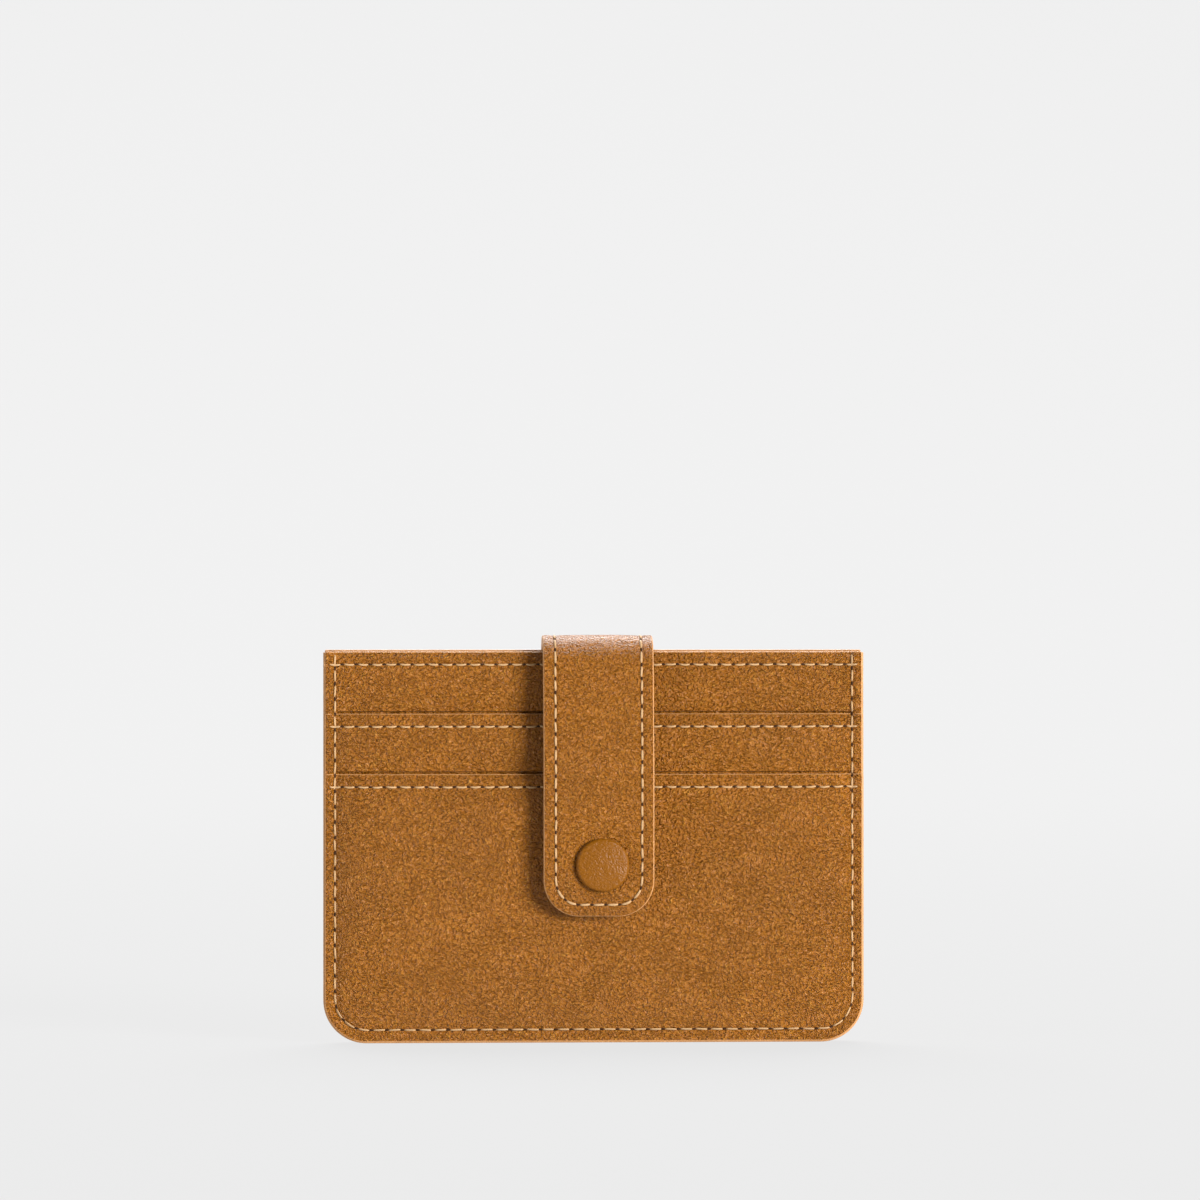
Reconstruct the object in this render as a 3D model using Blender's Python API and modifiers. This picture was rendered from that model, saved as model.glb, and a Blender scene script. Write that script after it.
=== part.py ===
"""Leather card holder with a snap strap, modelled as the separate pieces it is sewn and riveted from.

Metres, +Z up. The holder stands on its bottom edge with its front facing -Y. The origin is the middle
of the bottom edge of the base panel, the leather layer that the card slots are sewn on.
"""

import math

import bpy
from mathutils import Vector

MM = 0.001

# Holder outline
BODY_WIDTH = 100.0 * MM
BODY_HEIGHT = 72.6 * MM
CORNER_RADIUS = 8.0 * MM
TOP_CORNER_RADIUS = 0.6 * MM

# Leather and lining thicknesses
BACK_LEATHER = 1.0 * MM
BASE_LEATHER = 0.8 * MM
SLOT_LEATHER = 0.8 * MM
POCKET_LEATHER = 0.9 * MM
LINING = 0.3 * MM
STRAP_LEATHER = 0.95 * MM
STRAP_LINING = 0.7 * MM

# Clearances between layers
LAYER_GAP = 0.3 * MM
LINING_GAP = 0.15 * MM
COMPARTMENT_GAP = 0.8 * MM

# Pockets, measured down from the top edge
MIDDLE_SLOT_DROP = 11.5 * MM
FRONT_POCKET_DROP = 22.7 * MM
CARD_SLOT_DEPTH = 47.4 * MM
TAIL_OVERLAP = 6.0 * MM
LINING_INSET = 3.6 * MM

# Seams: distance of each thread from the edge that it follows
SIDE_SEAM_INSET = 2.15 * MM
BOTTOM_SEAM_INSET = 2.5 * MM
EDGE_STITCH_INSET = 2.35 * MM
STRAP_SEAM_INSET = 2.25 * MM
THREAD_RADIUS = 0.2 * MM
THREAD_GAP = 0.1 * MM

# Strap
STRAP_WIDTH = 20.5 * MM
STRAP_SHIFT = 0.65 * MM
STRAP_REACH = 48.8 * MM
STRAP_END_RADIUS = 6.7 * MM
STRAP_STAND_OFF = 1.8 * MM
STRAP_BACK_GAP = 0.6 * MM
CROWN_CLEARANCE = 1.2 * MM
FRONT_BEND_RADIUS = 4.5 * MM
BACK_BEND_RADIUS = 1.6 * MM
TAIL_LENGTH = 24.0 * MM
REAR_HINGE_DROP = 2.0 * MM
HINGE_OFFSET = 0.6 * MM
SPLIT_GAP = 0.3 * MM

# Snap
SNAP_DIAMETER = 9.9 * MM
SNAP_SHIFT = 0.65 * MM
SNAP_FROM_STRAP_END = 9.4 * MM
COVER_LEATHER = 0.4 * MM
CAP_GAP = 0.25 * MM
CAP_HEIGHT = 1.2 * MM
CAP_POST_RADIUS = 0.95 * MM
METAL_GAP = 0.1 * MM
SOCKET_RADIUS = 3.9 * MM
SOCKET_PLATE = 0.25 * MM
SOCKET_RIM_GAP = 0.25 * MM
STUD_FLANGE_RADIUS = 3.4 * MM
STUD_FLANGE = 0.3 * MM
STUD_NECK_RADIUS = 1.75 * MM
STUD_HEAD_RADIUS = 1.95 * MM
STUD_WALL = 0.4 * MM
SPRING_CLEARANCE = 0.12 * MM
SPRING_WIRE_RADIUS = 0.13 * MM
POST_RADIUS = 1.15 * MM
POST_WALL = 0.4 * MM
POST_CLEARANCE = 0.2 * MM
POST_FLANGE_RADIUS = 3.0 * MM
POST_FLANGE = 0.3 * MM
PATCH_RADIUS = 5.5 * MM
PATCH_LEATHER = 0.4 * MM
PATCH_MARGIN = 1.2 * MM

# Smoothness
CORNER_STEPS = 6
EDGE_ROUNDING = 0.15 * MM
ROUND_STEPS = 24
MERGE_DISTANCE = 0.002 * MM

# Depths, from the base panel's middle: +Y is towards the back
BASE_FRONT = -BASE_LEATHER / 2
BASE_BACK = BASE_LEATHER / 2
FRONT_LINING_FRONT = BASE_BACK + LINING_GAP
COMPARTMENT_FRONT = FRONT_LINING_FRONT + LINING
BACK_LINING_FRONT = COMPARTMENT_FRONT + COMPARTMENT_GAP
BACK_PANEL_FRONT = BACK_LINING_FRONT + LINING + LINING_GAP
BACK_FACE = BACK_PANEL_FRONT + BACK_LEATHER
TAIL_CLOTH_FRONT = BASE_FRONT - LINING_GAP - LINING
SLOT_BACK = TAIL_CLOTH_FRONT - LINING_GAP
SLOT_FACE = SLOT_BACK - SLOT_LEATHER
POCKET_BACK = SLOT_FACE - LAYER_GAP
POCKET_FACE = POCKET_BACK - POCKET_LEATHER
STRAP_THICKNESS = STRAP_LINING + LINING_GAP + STRAP_LEATHER
STRAP_INNER_FRONT = POCKET_FACE - STRAP_STAND_OFF
STRAP_OUTER_FRONT = STRAP_INNER_FRONT - STRAP_THICKNESS
STRAP_INNER_BACK = BACK_FACE + STRAP_BACK_GAP
STRAP_OUTER_BACK = STRAP_INNER_BACK + STRAP_THICKNESS
THREAD_LIFT = THREAD_GAP + THREAD_RADIUS

# Heights
MIDDLE_SLOT_TOP = BODY_HEIGHT - MIDDLE_SLOT_DROP
FRONT_POCKET_TOP = BODY_HEIGHT - FRONT_POCKET_DROP
STRAP_END = BODY_HEIGHT - STRAP_REACH
SNAP_HEIGHT = STRAP_END + SNAP_FROM_STRAP_END
SLOT_FOOT = SNAP_HEIGHT + PATCH_RADIUS + PATCH_MARGIN
TAIL_CLOTH_FOOT = MIDDLE_SLOT_TOP - CARD_SLOT_DEPTH
CROWN_INNER = BODY_HEIGHT + CROWN_CLEARANCE
REAR_HINGE_HEIGHT = BODY_HEIGHT - REAR_HINGE_DROP
FRONT_HINGE_HEIGHT = CROWN_INNER - FRONT_BEND_RADIUS
STRAP_TAIL_END = REAR_HINGE_HEIGHT - TAIL_LENGTH

STRAP_X = STRAP_SHIFT
SNAP_X = STRAP_X + SNAP_SHIFT
REAR_HINGE = Vector((STRAP_X, STRAP_OUTER_BACK + HINGE_OFFSET, REAR_HINGE_HEIGHT))
FRONT_HINGE = Vector((STRAP_X, STRAP_OUTER_FRONT - HINGE_OFFSET, FRONT_HINGE_HEIGHT))

PARTS_COLLECTION = "card_holder"


def clear_scene():
    """Remove every object that the file opened with."""
    for item in list(bpy.data.objects):
        bpy.data.objects.remove(item, do_unlink=True)


def finish(name, colour, roughness, metallic=0.0):
    """Return a plain material."""
    material = bpy.data.materials.new(name)
    material.use_nodes = True
    shader = material.node_tree.nodes["Principled BSDF"]
    shader.inputs["Base Color"].default_value = (*colour, 1.0)
    shader.inputs["Roughness"].default_value = roughness
    shader.inputs["Metallic"].default_value = metallic
    return material


def arc(centre, radius, start, end, steps=CORNER_STEPS):
    """Return points along an arc, angles in degrees."""
    points = []
    for step in range(steps + 1):
        angle = math.radians(start + (end - start) * step / steps)
        points.append((centre[0] + radius * math.cos(angle), centre[1] + radius * math.sin(angle)))
    return points


def rounded_outline(left, right, bottom, top, bottom_radius, top_radius):
    """Return a rectangle's outline with rounded corners, anticlockwise from the bottom left."""
    points = arc((left + bottom_radius, bottom + bottom_radius), bottom_radius, 180, 270)
    points += arc((right - bottom_radius, bottom + bottom_radius), bottom_radius, 270, 360)
    points += arc((right - top_radius, top - top_radius), top_radius, 0, 90)
    points += arc((left + top_radius, top - top_radius), top_radius, 90, 180)
    return points


def place(item, collection, material, hinge=None):
    """Link a piece, give it its material, and hang it on its hinge's empty if it moves."""
    item.data.materials.append(material)
    collection.objects.link(item)
    if hinge:
        item.parent = hinge
        item.location = item.location - hinge.matrix_world.translation


def add_spline(curve, points, cyclic):
    """Add a straight-sided spline through points."""
    spline = curve.splines.new("POLY")
    spline.points.add(len(points) - 1)
    for control, point in zip(spline.points, points):
        control.co = (*point, 1.0)
    spline.use_cyclic_u = cyclic


def round_edges(item, width):
    """Join the loose caps of an extruded outline and round its sharp edges."""
    weld = item.modifiers.new("Weld", "WELD")
    weld.merge_threshold = MERGE_DISTANCE
    bevel = item.modifiers.new("Bevel", "BEVEL")
    bevel.width = width
    bevel.segments = 2
    bevel.limit_method = "ANGLE"
    bevel.angle_limit = math.radians(40)


def upright_sheet(name, outline, front, back, collection, material, holes=(), hinge=None, rounding=EDGE_ROUNDING):
    """Make a flat piece that stands in the XZ plane between two depths. holes are (x, z, radius)."""
    curve = bpy.data.curves.new(name, "CURVE")
    curve.dimensions = "2D"
    curve.fill_mode = "BOTH"
    curve.extrude = (back - front) / 2
    add_spline(curve, [(x, z, 0.0) for x, z in outline], True)
    for x, z, radius in holes:
        circle = arc((x, z), radius, 0, 360, ROUND_STEPS)[:-1]
        add_spline(curve, [(px, pz, 0.0) for px, pz in circle], True)
    item = bpy.data.objects.new(name, curve)
    item.location = (0.0, (front + back) / 2, 0.0)
    item.rotation_euler = (math.radians(90), 0.0, 0.0)
    if rounding:
        round_edges(item, rounding)
    place(item, collection, material, hinge)


def side_profile(name, outline, width, collection, material, hinge):
    """Make a piece with a constant outline in the YZ plane, as wide as given, centred on the strap."""
    curve = bpy.data.curves.new(name, "CURVE")
    curve.dimensions = "2D"
    curve.fill_mode = "BOTH"
    curve.extrude = width / 2
    add_spline(curve, [(y, z, 0.0) for y, z in outline], True)
    item = bpy.data.objects.new(name, curve)
    item.location = (STRAP_X, 0.0, 0.0)
    item.rotation_euler = (math.radians(90), 0.0, math.radians(90))
    place(item, collection, material, hinge)


def thread(name, points, collection, material, cyclic=False, hinge=None):
    """Make one run of sewing thread through points."""
    curve = bpy.data.curves.new(name, "CURVE")
    curve.dimensions = "3D"
    curve.bevel_depth = THREAD_RADIUS
    curve.bevel_resolution = 1
    curve.use_fill_caps = not cyclic
    add_spline(curve, points, cyclic)
    item = bpy.data.objects.new(name, curve)
    place(item, collection, material, hinge)


def turned(name, profile, depth, collection, material, hinge=None):
    """Turn a profile of (radius, forward distance) about the snap's axis, starting from a depth.

    A profile runs down its outer side from the front to the back.
    """
    mesh = bpy.data.meshes.new(name)
    vertices = [(radius, 0.0, forward) for radius, forward in profile]
    edges = [(i, i + 1) for i in range(len(profile) - 1)]
    if profile[0][0] > 0.0:
        edges.append((len(profile) - 1, 0))
    mesh.from_pydata(vertices, edges, [])
    item = bpy.data.objects.new(name, mesh)
    item.location = (SNAP_X, depth, SNAP_HEIGHT)
    item.rotation_euler = (math.radians(90), 0.0, 0.0)
    screw = item.modifiers.new("Screw", "SCREW")
    screw.axis = "Z"
    screw.steps = ROUND_STEPS
    screw.render_steps = ROUND_STEPS
    screw.use_merge_vertices = True
    screw.merge_threshold = MERGE_DISTANCE
    screw.use_smooth_shade = True
    place(item, collection, material, hinge)


def holder_outline(top=BODY_HEIGHT, bottom=0.0, side_inset=0.0, bottom_radius=CORNER_RADIUS):
    """Return the outline of a layer of the holder."""
    half = BODY_WIDTH / 2 - side_inset
    return rounded_outline(-half, half, bottom, top, bottom_radius, TOP_CORNER_RADIUS)


def build_panels(parts, leather, cloth):
    """Make the holder's leather layers and linings, from back to front."""
    inner_radius = CORNER_RADIUS - LINING_INSET
    inner = holder_outline(BODY_HEIGHT - LINING_GAP, LINING_INSET, LINING_INSET, inner_radius)
    upright_sheet("back_panel", holder_outline(), BACK_PANEL_FRONT, BACK_FACE, parts, leather)
    upright_sheet("back_lining", inner, BACK_LINING_FRONT, BACK_LINING_FRONT + LINING, parts, cloth, rounding=0)
    upright_sheet("front_lining", inner, FRONT_LINING_FRONT, COMPARTMENT_FRONT, parts, cloth, rounding=0)
    upright_sheet("base_panel", holder_outline(), BASE_FRONT, BASE_BACK, parts, leather)
    slot = holder_outline(MIDDLE_SLOT_TOP, SLOT_FOOT, bottom_radius=TOP_CORNER_RADIUS)
    upright_sheet("middle_slot_strip", slot, SLOT_FACE, SLOT_BACK, parts, leather)
    cloth_tail = holder_outline(SLOT_FOOT + TAIL_OVERLAP, TAIL_CLOTH_FOOT, LINING_INSET, TOP_CORNER_RADIUS)
    upright_sheet("middle_slot_tail", cloth_tail, TAIL_CLOTH_FRONT, TAIL_CLOTH_FRONT + LINING, parts, cloth, rounding=0)
    snap_hole = (SNAP_X, SNAP_HEIGHT, POST_RADIUS + POST_CLEARANCE)
    pocket = holder_outline(FRONT_POCKET_TOP)
    upright_sheet("front_pocket_panel", pocket, POCKET_FACE, POCKET_BACK, parts, leather, [snap_hole])
    patch = arc((SNAP_X, SNAP_HEIGHT), PATCH_RADIUS, 0, 360, ROUND_STEPS)[:-1]
    patch_front = POCKET_BACK + LINING_GAP
    upright_sheet("snap_patch", patch, patch_front, patch_front + PATCH_LEATHER, parts, cloth, [snap_hole], rounding=0)


def seam_corner(side):
    """Return the points of a perimeter seam's bottom corner on side -1 or 1, from the side to the bottom."""
    across = BODY_WIDTH / 2 - SIDE_SEAM_INSET
    radius_x = CORNER_RADIUS - SIDE_SEAM_INSET
    radius_z = CORNER_RADIUS - BOTTOM_SEAM_INSET
    points = []
    for step in range(CORNER_STEPS + 1):
        angle = math.radians(90 * step / CORNER_STEPS)
        x = side * (across - radius_x * (1 - math.cos(angle)))
        z = BOTTOM_SEAM_INSET + radius_z * (1 - math.sin(angle))
        points.append((x, z))
    return points


def stepped_side(side):
    """Return a front side seam's points from the top down, stepping out over each pocket's edge."""
    x = side * (BODY_WIDTH / 2 - SIDE_SEAM_INSET)
    points = [(x, BASE_FRONT - THREAD_LIFT, BODY_HEIGHT - THREAD_RADIUS)]
    levels = ((MIDDLE_SLOT_TOP, BASE_FRONT, SLOT_FACE), (FRONT_POCKET_TOP, SLOT_FACE, POCKET_FACE))
    for edge, behind, ahead in levels:
        points.append((x, behind - THREAD_LIFT, edge + 4 * THREAD_LIFT))
        points.append((x, ahead - THREAD_LIFT, edge + THREAD_LIFT))
    return points


def build_holder_threads(parts, linen):
    """Make the seams that hold the layers together."""
    front = POCKET_FACE - THREAD_LIFT
    down = stepped_side(-1) + [(x, front, z) for x, z in seam_corner(-1)]
    up = [(x, front, z) for x, z in reversed(seam_corner(1))] + list(reversed(stepped_side(1)))
    thread("perimeter_thread", down + up, parts, linen)
    behind = BACK_FACE + THREAD_LIFT
    top = BODY_HEIGHT - THREAD_RADIUS
    across = BODY_WIDTH / 2 - SIDE_SEAM_INSET
    down = [(-across, behind, top)] + [(x, behind, z) for x, z in seam_corner(-1)]
    up = [(x, behind, z) for x, z in reversed(seam_corner(1))] + [(across, behind, top)]
    thread("perimeter_back_thread", down + up, parts, linen)
    reach = across - 2 * THREAD_LIFT
    edges = (
        ("top_edge_thread", BODY_HEIGHT, BASE_FRONT - THREAD_LIFT),
        ("middle_slot_thread", MIDDLE_SLOT_TOP, SLOT_FACE - THREAD_LIFT),
        ("front_pocket_thread", FRONT_POCKET_TOP, POCKET_FACE - THREAD_LIFT),
        ("back_edge_thread", BODY_HEIGHT, BACK_FACE + THREAD_LIFT),
    )
    for name, edge, depth in edges:
        height = edge - EDGE_STITCH_INSET
        thread(name, [(-reach, depth, height), (0.0, depth, height), (reach, depth, height)], parts, linen)


def strap_line(offset):
    """Return the strap's bend in the YZ plane from the rear hinge to the front one.

    offset is the distance out from the strap's inner face.
    """
    back_centre = (STRAP_INNER_BACK - BACK_BEND_RADIUS, CROWN_INNER - BACK_BEND_RADIUS)
    front_centre = (STRAP_INNER_FRONT + FRONT_BEND_RADIUS, CROWN_INNER - FRONT_BEND_RADIUS)
    points = [(STRAP_INNER_BACK + offset, REAR_HINGE_HEIGHT + SPLIT_GAP / 2)]
    points += arc(back_centre, BACK_BEND_RADIUS + offset, 0, 90)
    points += arc(front_centre, FRONT_BEND_RADIUS + offset, 90, 180)
    points[-1] = (points[-1][0], FRONT_HINGE_HEIGHT + SPLIT_GAP / 2)
    return points


def bend_outline(inner, outer):
    """Return the closed outline of a bent layer between two distances from the strap's inner face."""
    return strap_line(outer) + list(reversed(strap_line(inner)))


def build_strap_tail(parts, leather, linen):
    """Make the strap's end that is sewn on the back."""
    left = STRAP_X - STRAP_WIDTH / 2
    right = STRAP_X + STRAP_WIDTH / 2
    top = REAR_HINGE_HEIGHT - SPLIT_GAP / 2
    outline = rounded_outline(left, right, STRAP_TAIL_END, top, STRAP_END_RADIUS, TOP_CORNER_RADIUS)
    middle = STRAP_INNER_BACK + STRAP_LINING
    upright_sheet("strap_tail_lining", outline, STRAP_INNER_BACK, middle, parts, leather)
    upright_sheet("strap_tail_leather", outline, middle + LINING_GAP, STRAP_OUTER_BACK, parts, leather)
    box = rounded_outline(
        left + STRAP_SEAM_INSET,
        right - STRAP_SEAM_INSET,
        STRAP_TAIL_END + STRAP_SEAM_INSET,
        top - STRAP_SEAM_INSET,
        STRAP_END_RADIUS - STRAP_SEAM_INSET,
        TOP_CORNER_RADIUS,
    )
    depth = STRAP_OUTER_BACK + THREAD_LIFT
    thread("strap_tail_thread", [(x, depth, z) for x, z in box], parts, linen, cyclic=True)


def build_strap_bridge(parts, leather, linen, hinge):
    """Make the bend of the strap that passes over the holder's top edge."""
    lining = bend_outline(0.0, STRAP_LINING)
    side_profile("strap_bridge_lining", lining, STRAP_WIDTH, parts, leather, hinge)
    outer = bend_outline(STRAP_LINING + LINING_GAP, STRAP_THICKNESS)
    side_profile("strap_bridge_leather", outer, STRAP_WIDTH, parts, leather, hinge)
    run = strap_line(STRAP_THICKNESS + THREAD_LIFT)
    run[0] = (run[0][0], run[0][1] + THREAD_RADIUS)
    run[-1] = (run[-1][0], run[-1][1] + THREAD_RADIUS)
    for name, side in (("strap_bridge_thread_left", -1), ("strap_bridge_thread_right", 1)):
        x = STRAP_X + side * (STRAP_WIDTH / 2 - STRAP_SEAM_INSET)
        points = [(x - hinge.location.x + STRAP_X, y, z) for y, z in run]
        thread(name, points, parts, linen, hinge=hinge)


def build_strap_flap(parts, leather, linen, hinge):
    """Make the strap's front end, which carries the snap's cap and socket."""
    left = STRAP_X - STRAP_WIDTH / 2
    right = STRAP_X + STRAP_WIDTH / 2
    top = FRONT_HINGE_HEIGHT - SPLIT_GAP / 2
    outline = rounded_outline(left, right, STRAP_END, top, STRAP_END_RADIUS, TOP_CORNER_RADIUS)
    post_hole = (SNAP_X, SNAP_HEIGHT, CAP_POST_RADIUS + POST_CLEARANCE)
    middle = STRAP_INNER_FRONT - STRAP_LINING
    upright_sheet("strap_flap_lining", outline, middle, STRAP_INNER_FRONT, parts, leather, [post_hole], hinge)
    face = STRAP_OUTER_FRONT
    upright_sheet("strap_flap_leather", outline, face, middle - LINING_GAP, parts, leather, [post_hole], hinge)
    seam = rounded_outline(
        left + STRAP_SEAM_INSET,
        right - STRAP_SEAM_INSET,
        STRAP_END + STRAP_SEAM_INSET,
        top - THREAD_RADIUS,
        STRAP_END_RADIUS - STRAP_SEAM_INSET,
        TOP_CORNER_RADIUS,
    )
    steps = 2 * (CORNER_STEPS + 1)
    sides = [(seam[0][0], top - THREAD_RADIUS)] + seam[:steps] + [(seam[steps - 1][0], top - THREAD_RADIUS)]
    for name, depth in (
        ("strap_flap_thread", STRAP_OUTER_FRONT - THREAD_LIFT),
        ("strap_flap_inner_thread", STRAP_INNER_FRONT + THREAD_LIFT),
    ):
        thread(name, [(x, depth, z) for x, z in sides], parts, linen, hinge=hinge)


def build_snap_stud(parts, brass):
    """Make the stud on the front pocket and the post that holds it from behind."""
    flange_top = METAL_GAP + STUD_FLANGE
    bore = POST_RADIUS + POST_CLEARANCE
    head_top = STRAP_STAND_OFF - METAL_GAP - SOCKET_PLATE - 2 * METAL_GAP
    head_middle = head_top - STUD_WALL
    stud = [
        (bore, head_top),
        (STUD_HEAD_RADIUS - METAL_GAP, head_top),
        (STUD_HEAD_RADIUS, head_middle),
        (STUD_NECK_RADIUS, head_middle - METAL_GAP),
        (STUD_NECK_RADIUS, flange_top),
        (STUD_FLANGE_RADIUS, flange_top),
        (STUD_FLANGE_RADIUS, METAL_GAP),
        (bore, METAL_GAP),
    ]
    turned("snap_stud", stud, POCKET_FACE, parts, brass)
    patch_back = -(POCKET_LEATHER + LINING_GAP + PATCH_LEATHER + LINING_GAP)
    flange_back = patch_back - POST_FLANGE
    post = [
        (POST_RADIUS - POST_WALL, head_middle),
        (POST_RADIUS, head_middle),
        (POST_RADIUS, patch_back),
        (POST_FLANGE_RADIUS, patch_back),
        (POST_FLANGE_RADIUS, flange_back),
        (POST_RADIUS - POST_WALL, flange_back),
    ]
    turned("snap_stud_post", post, POCKET_FACE, parts, brass)


def build_snap_socket(parts, brass, steel, hinge):
    """Make the socket inside the strap and the ring spring that grips the stud."""
    bore = STUD_HEAD_RADIUS + SPRING_CLEARANCE + 2 * SPRING_WIRE_RADIUS + METAL_GAP
    rim = METAL_GAP + STUD_FLANGE + SOCKET_RIM_GAP
    top = STRAP_STAND_OFF - METAL_GAP
    hole = CAP_POST_RADIUS + POST_CLEARANCE
    socket = [
        (hole, top),
        (SOCKET_RADIUS - 2 * METAL_GAP, top),
        (SOCKET_RADIUS, top - SOCKET_PLATE),
        (SOCKET_RADIUS, rim),
        (bore, rim),
        (bore, top - SOCKET_PLATE),
        (hole, top - SOCKET_PLATE),
    ]
    turned("snap_socket", socket, POCKET_FACE, parts, brass, hinge)
    ring = STUD_HEAD_RADIUS + SPRING_CLEARANCE + SPRING_WIRE_RADIUS
    centre = (rim + top - SOCKET_PLATE) / 2
    wire = arc((ring, centre), SPRING_WIRE_RADIUS, 90, -270, CORNER_STEPS)[:-1]
    turned("snap_spring", wire, POCKET_FACE, parts, steel, hinge)


def build_snap_cap(parts, brass, leather, hinge):
    """Make the cap on the strap's face, with its post through the strap, and its leather cover."""
    radius = SNAP_DIAMETER / 2
    cap_radius = radius - COVER_LEATHER - CAP_GAP
    cap_front = CAP_HEIGHT - COVER_LEATHER - CAP_GAP
    post_end = -(STRAP_THICKNESS + METAL_GAP + SOCKET_PLATE / 2)
    cap = [
        (0.0, cap_front),
        (cap_radius - cap_front / 2, cap_front),
        (cap_radius, cap_front / 2),
        (cap_radius, METAL_GAP),
        (CAP_POST_RADIUS, METAL_GAP),
        (CAP_POST_RADIUS, post_end),
        (0.0, post_end),
    ]
    turned("snap_cap", cap, STRAP_OUTER_FRONT, parts, brass, hinge)
    edge = CAP_HEIGHT / 2
    outer_dome = arc((radius - edge, CAP_HEIGHT - edge), edge, 90, 0)
    inner_radius = cap_radius + CAP_GAP
    inner_front = cap_front + CAP_GAP
    inner_edge = edge - COVER_LEATHER
    inner_dome = arc((inner_radius - inner_edge, inner_front - inner_edge), inner_edge, 0, 90)
    cover = [(0.0, CAP_HEIGHT)]
    cover += [(r, forward) for r, forward in outer_dome]
    cover += [(radius, METAL_GAP), (inner_radius, METAL_GAP)]
    cover += [(r, forward) for r, forward in inner_dome]
    cover += [(0.0, inner_front)]
    turned("snap_cap_cover", cover, STRAP_OUTER_FRONT, parts, leather, hinge)


def hinge_empty(name, position, collection, parent=None):
    """Add an empty on a bend's axis."""
    empty = bpy.data.objects.new(name, None)
    empty.location = position
    collection.objects.link(empty)
    if parent:
        empty.parent = parent
        empty.location = position - parent.location
    bpy.context.view_layer.update()
    return empty


def main():
    """Build the card holder."""
    clear_scene()
    parts = bpy.data.collections.new(PARTS_COLLECTION)
    bpy.context.scene.collection.children.link(parts)
    leather = finish("leather", (0.38, 0.14, 0.025), 0.45)
    cloth = finish("lining_cloth", (0.20, 0.12, 0.06), 0.85)
    linen = finish("thread", (0.72, 0.60, 0.42), 0.7)
    brass = finish("brass", (0.75, 0.56, 0.27), 0.3, 1.0)
    steel = finish("spring_steel", (0.6, 0.6, 0.6), 0.3, 1.0)
    rear_hinge = hinge_empty("strap_rear_hinge", REAR_HINGE, parts)
    front_hinge = hinge_empty("strap_front_hinge", FRONT_HINGE, parts, rear_hinge)
    build_panels(parts, leather, cloth)
    build_holder_threads(parts, linen)
    build_strap_tail(parts, leather, linen)
    build_strap_bridge(parts, leather, linen, rear_hinge)
    build_strap_flap(parts, leather, linen, front_hinge)
    build_snap_stud(parts, brass)
    build_snap_socket(parts, brass, steel, front_hinge)
    build_snap_cap(parts, brass, leather, front_hinge)


main()
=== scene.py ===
"""Leather card holder with a snap strap: the visual model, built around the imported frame."""

import logging
import math
import random
from dataclasses import dataclass, field
from enum import Enum
from typing import Callable

import bmesh
import bpy
import numpy as np
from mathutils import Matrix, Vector, noise


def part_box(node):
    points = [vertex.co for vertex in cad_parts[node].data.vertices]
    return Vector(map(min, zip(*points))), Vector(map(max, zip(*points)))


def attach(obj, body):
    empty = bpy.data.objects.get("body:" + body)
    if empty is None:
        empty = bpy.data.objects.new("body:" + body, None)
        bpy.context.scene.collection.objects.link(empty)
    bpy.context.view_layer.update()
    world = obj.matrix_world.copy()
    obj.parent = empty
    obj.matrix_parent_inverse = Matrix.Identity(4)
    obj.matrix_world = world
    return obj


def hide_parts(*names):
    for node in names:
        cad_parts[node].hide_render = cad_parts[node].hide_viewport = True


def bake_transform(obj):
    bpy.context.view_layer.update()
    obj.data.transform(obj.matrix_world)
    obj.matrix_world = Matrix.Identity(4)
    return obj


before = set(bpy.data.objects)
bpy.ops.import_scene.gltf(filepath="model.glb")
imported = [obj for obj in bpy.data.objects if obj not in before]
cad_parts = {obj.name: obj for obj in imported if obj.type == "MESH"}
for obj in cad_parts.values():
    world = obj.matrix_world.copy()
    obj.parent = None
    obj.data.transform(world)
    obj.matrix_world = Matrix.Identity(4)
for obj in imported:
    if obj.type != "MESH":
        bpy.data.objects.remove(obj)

LOG = logging.getLogger("card_holder")
MM = 0.001
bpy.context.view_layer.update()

Array = np.ndarray
Socket = bpy.types.NodeSocket
Tree = bpy.types.NodeTree
Pattern = tuple[Array, list[tuple[int, ...]]]
SurfaceMap = Callable[[Array, Array, Array], Array]


class Side(Enum):
    """Which way a sheet's good side faces."""

    FRONT = -1.0
    BACK = 1.0


class Half(Enum):
    """A half of the strap, each bending over one joint."""

    REAR = "rear"
    FRONT = "front"


def smooth(value: Array, low: float, high: float) -> Array:
    """Return a smooth step from 0 at low to 1 at high.

    Args:
        value: values to test.
        low: where the step starts.
        high: where the step ends.

    Returns:
        The step's height for each value.
    """
    share = np.clip((value - low) / (high - low), 0.0, 1.0)
    return share * share * (3.0 - 2.0 * share)


def grain(points: Array, size: float, seed: float) -> Array:
    """Return soft noise of one feature size at each point.

    Args:
        points: N x 3 positions in metres.
        size: feature size in metres.
        seed: offset that makes one field differ from another.

    Returns:
        N values from about -1 to 1.
    """
    shift = Vector((seed, seed * 1.7, seed * 0.6))
    return np.array([noise.noise(Vector(point) / size + shift) for point in points])


# ---------------------------------------------------------------- finishes


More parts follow.
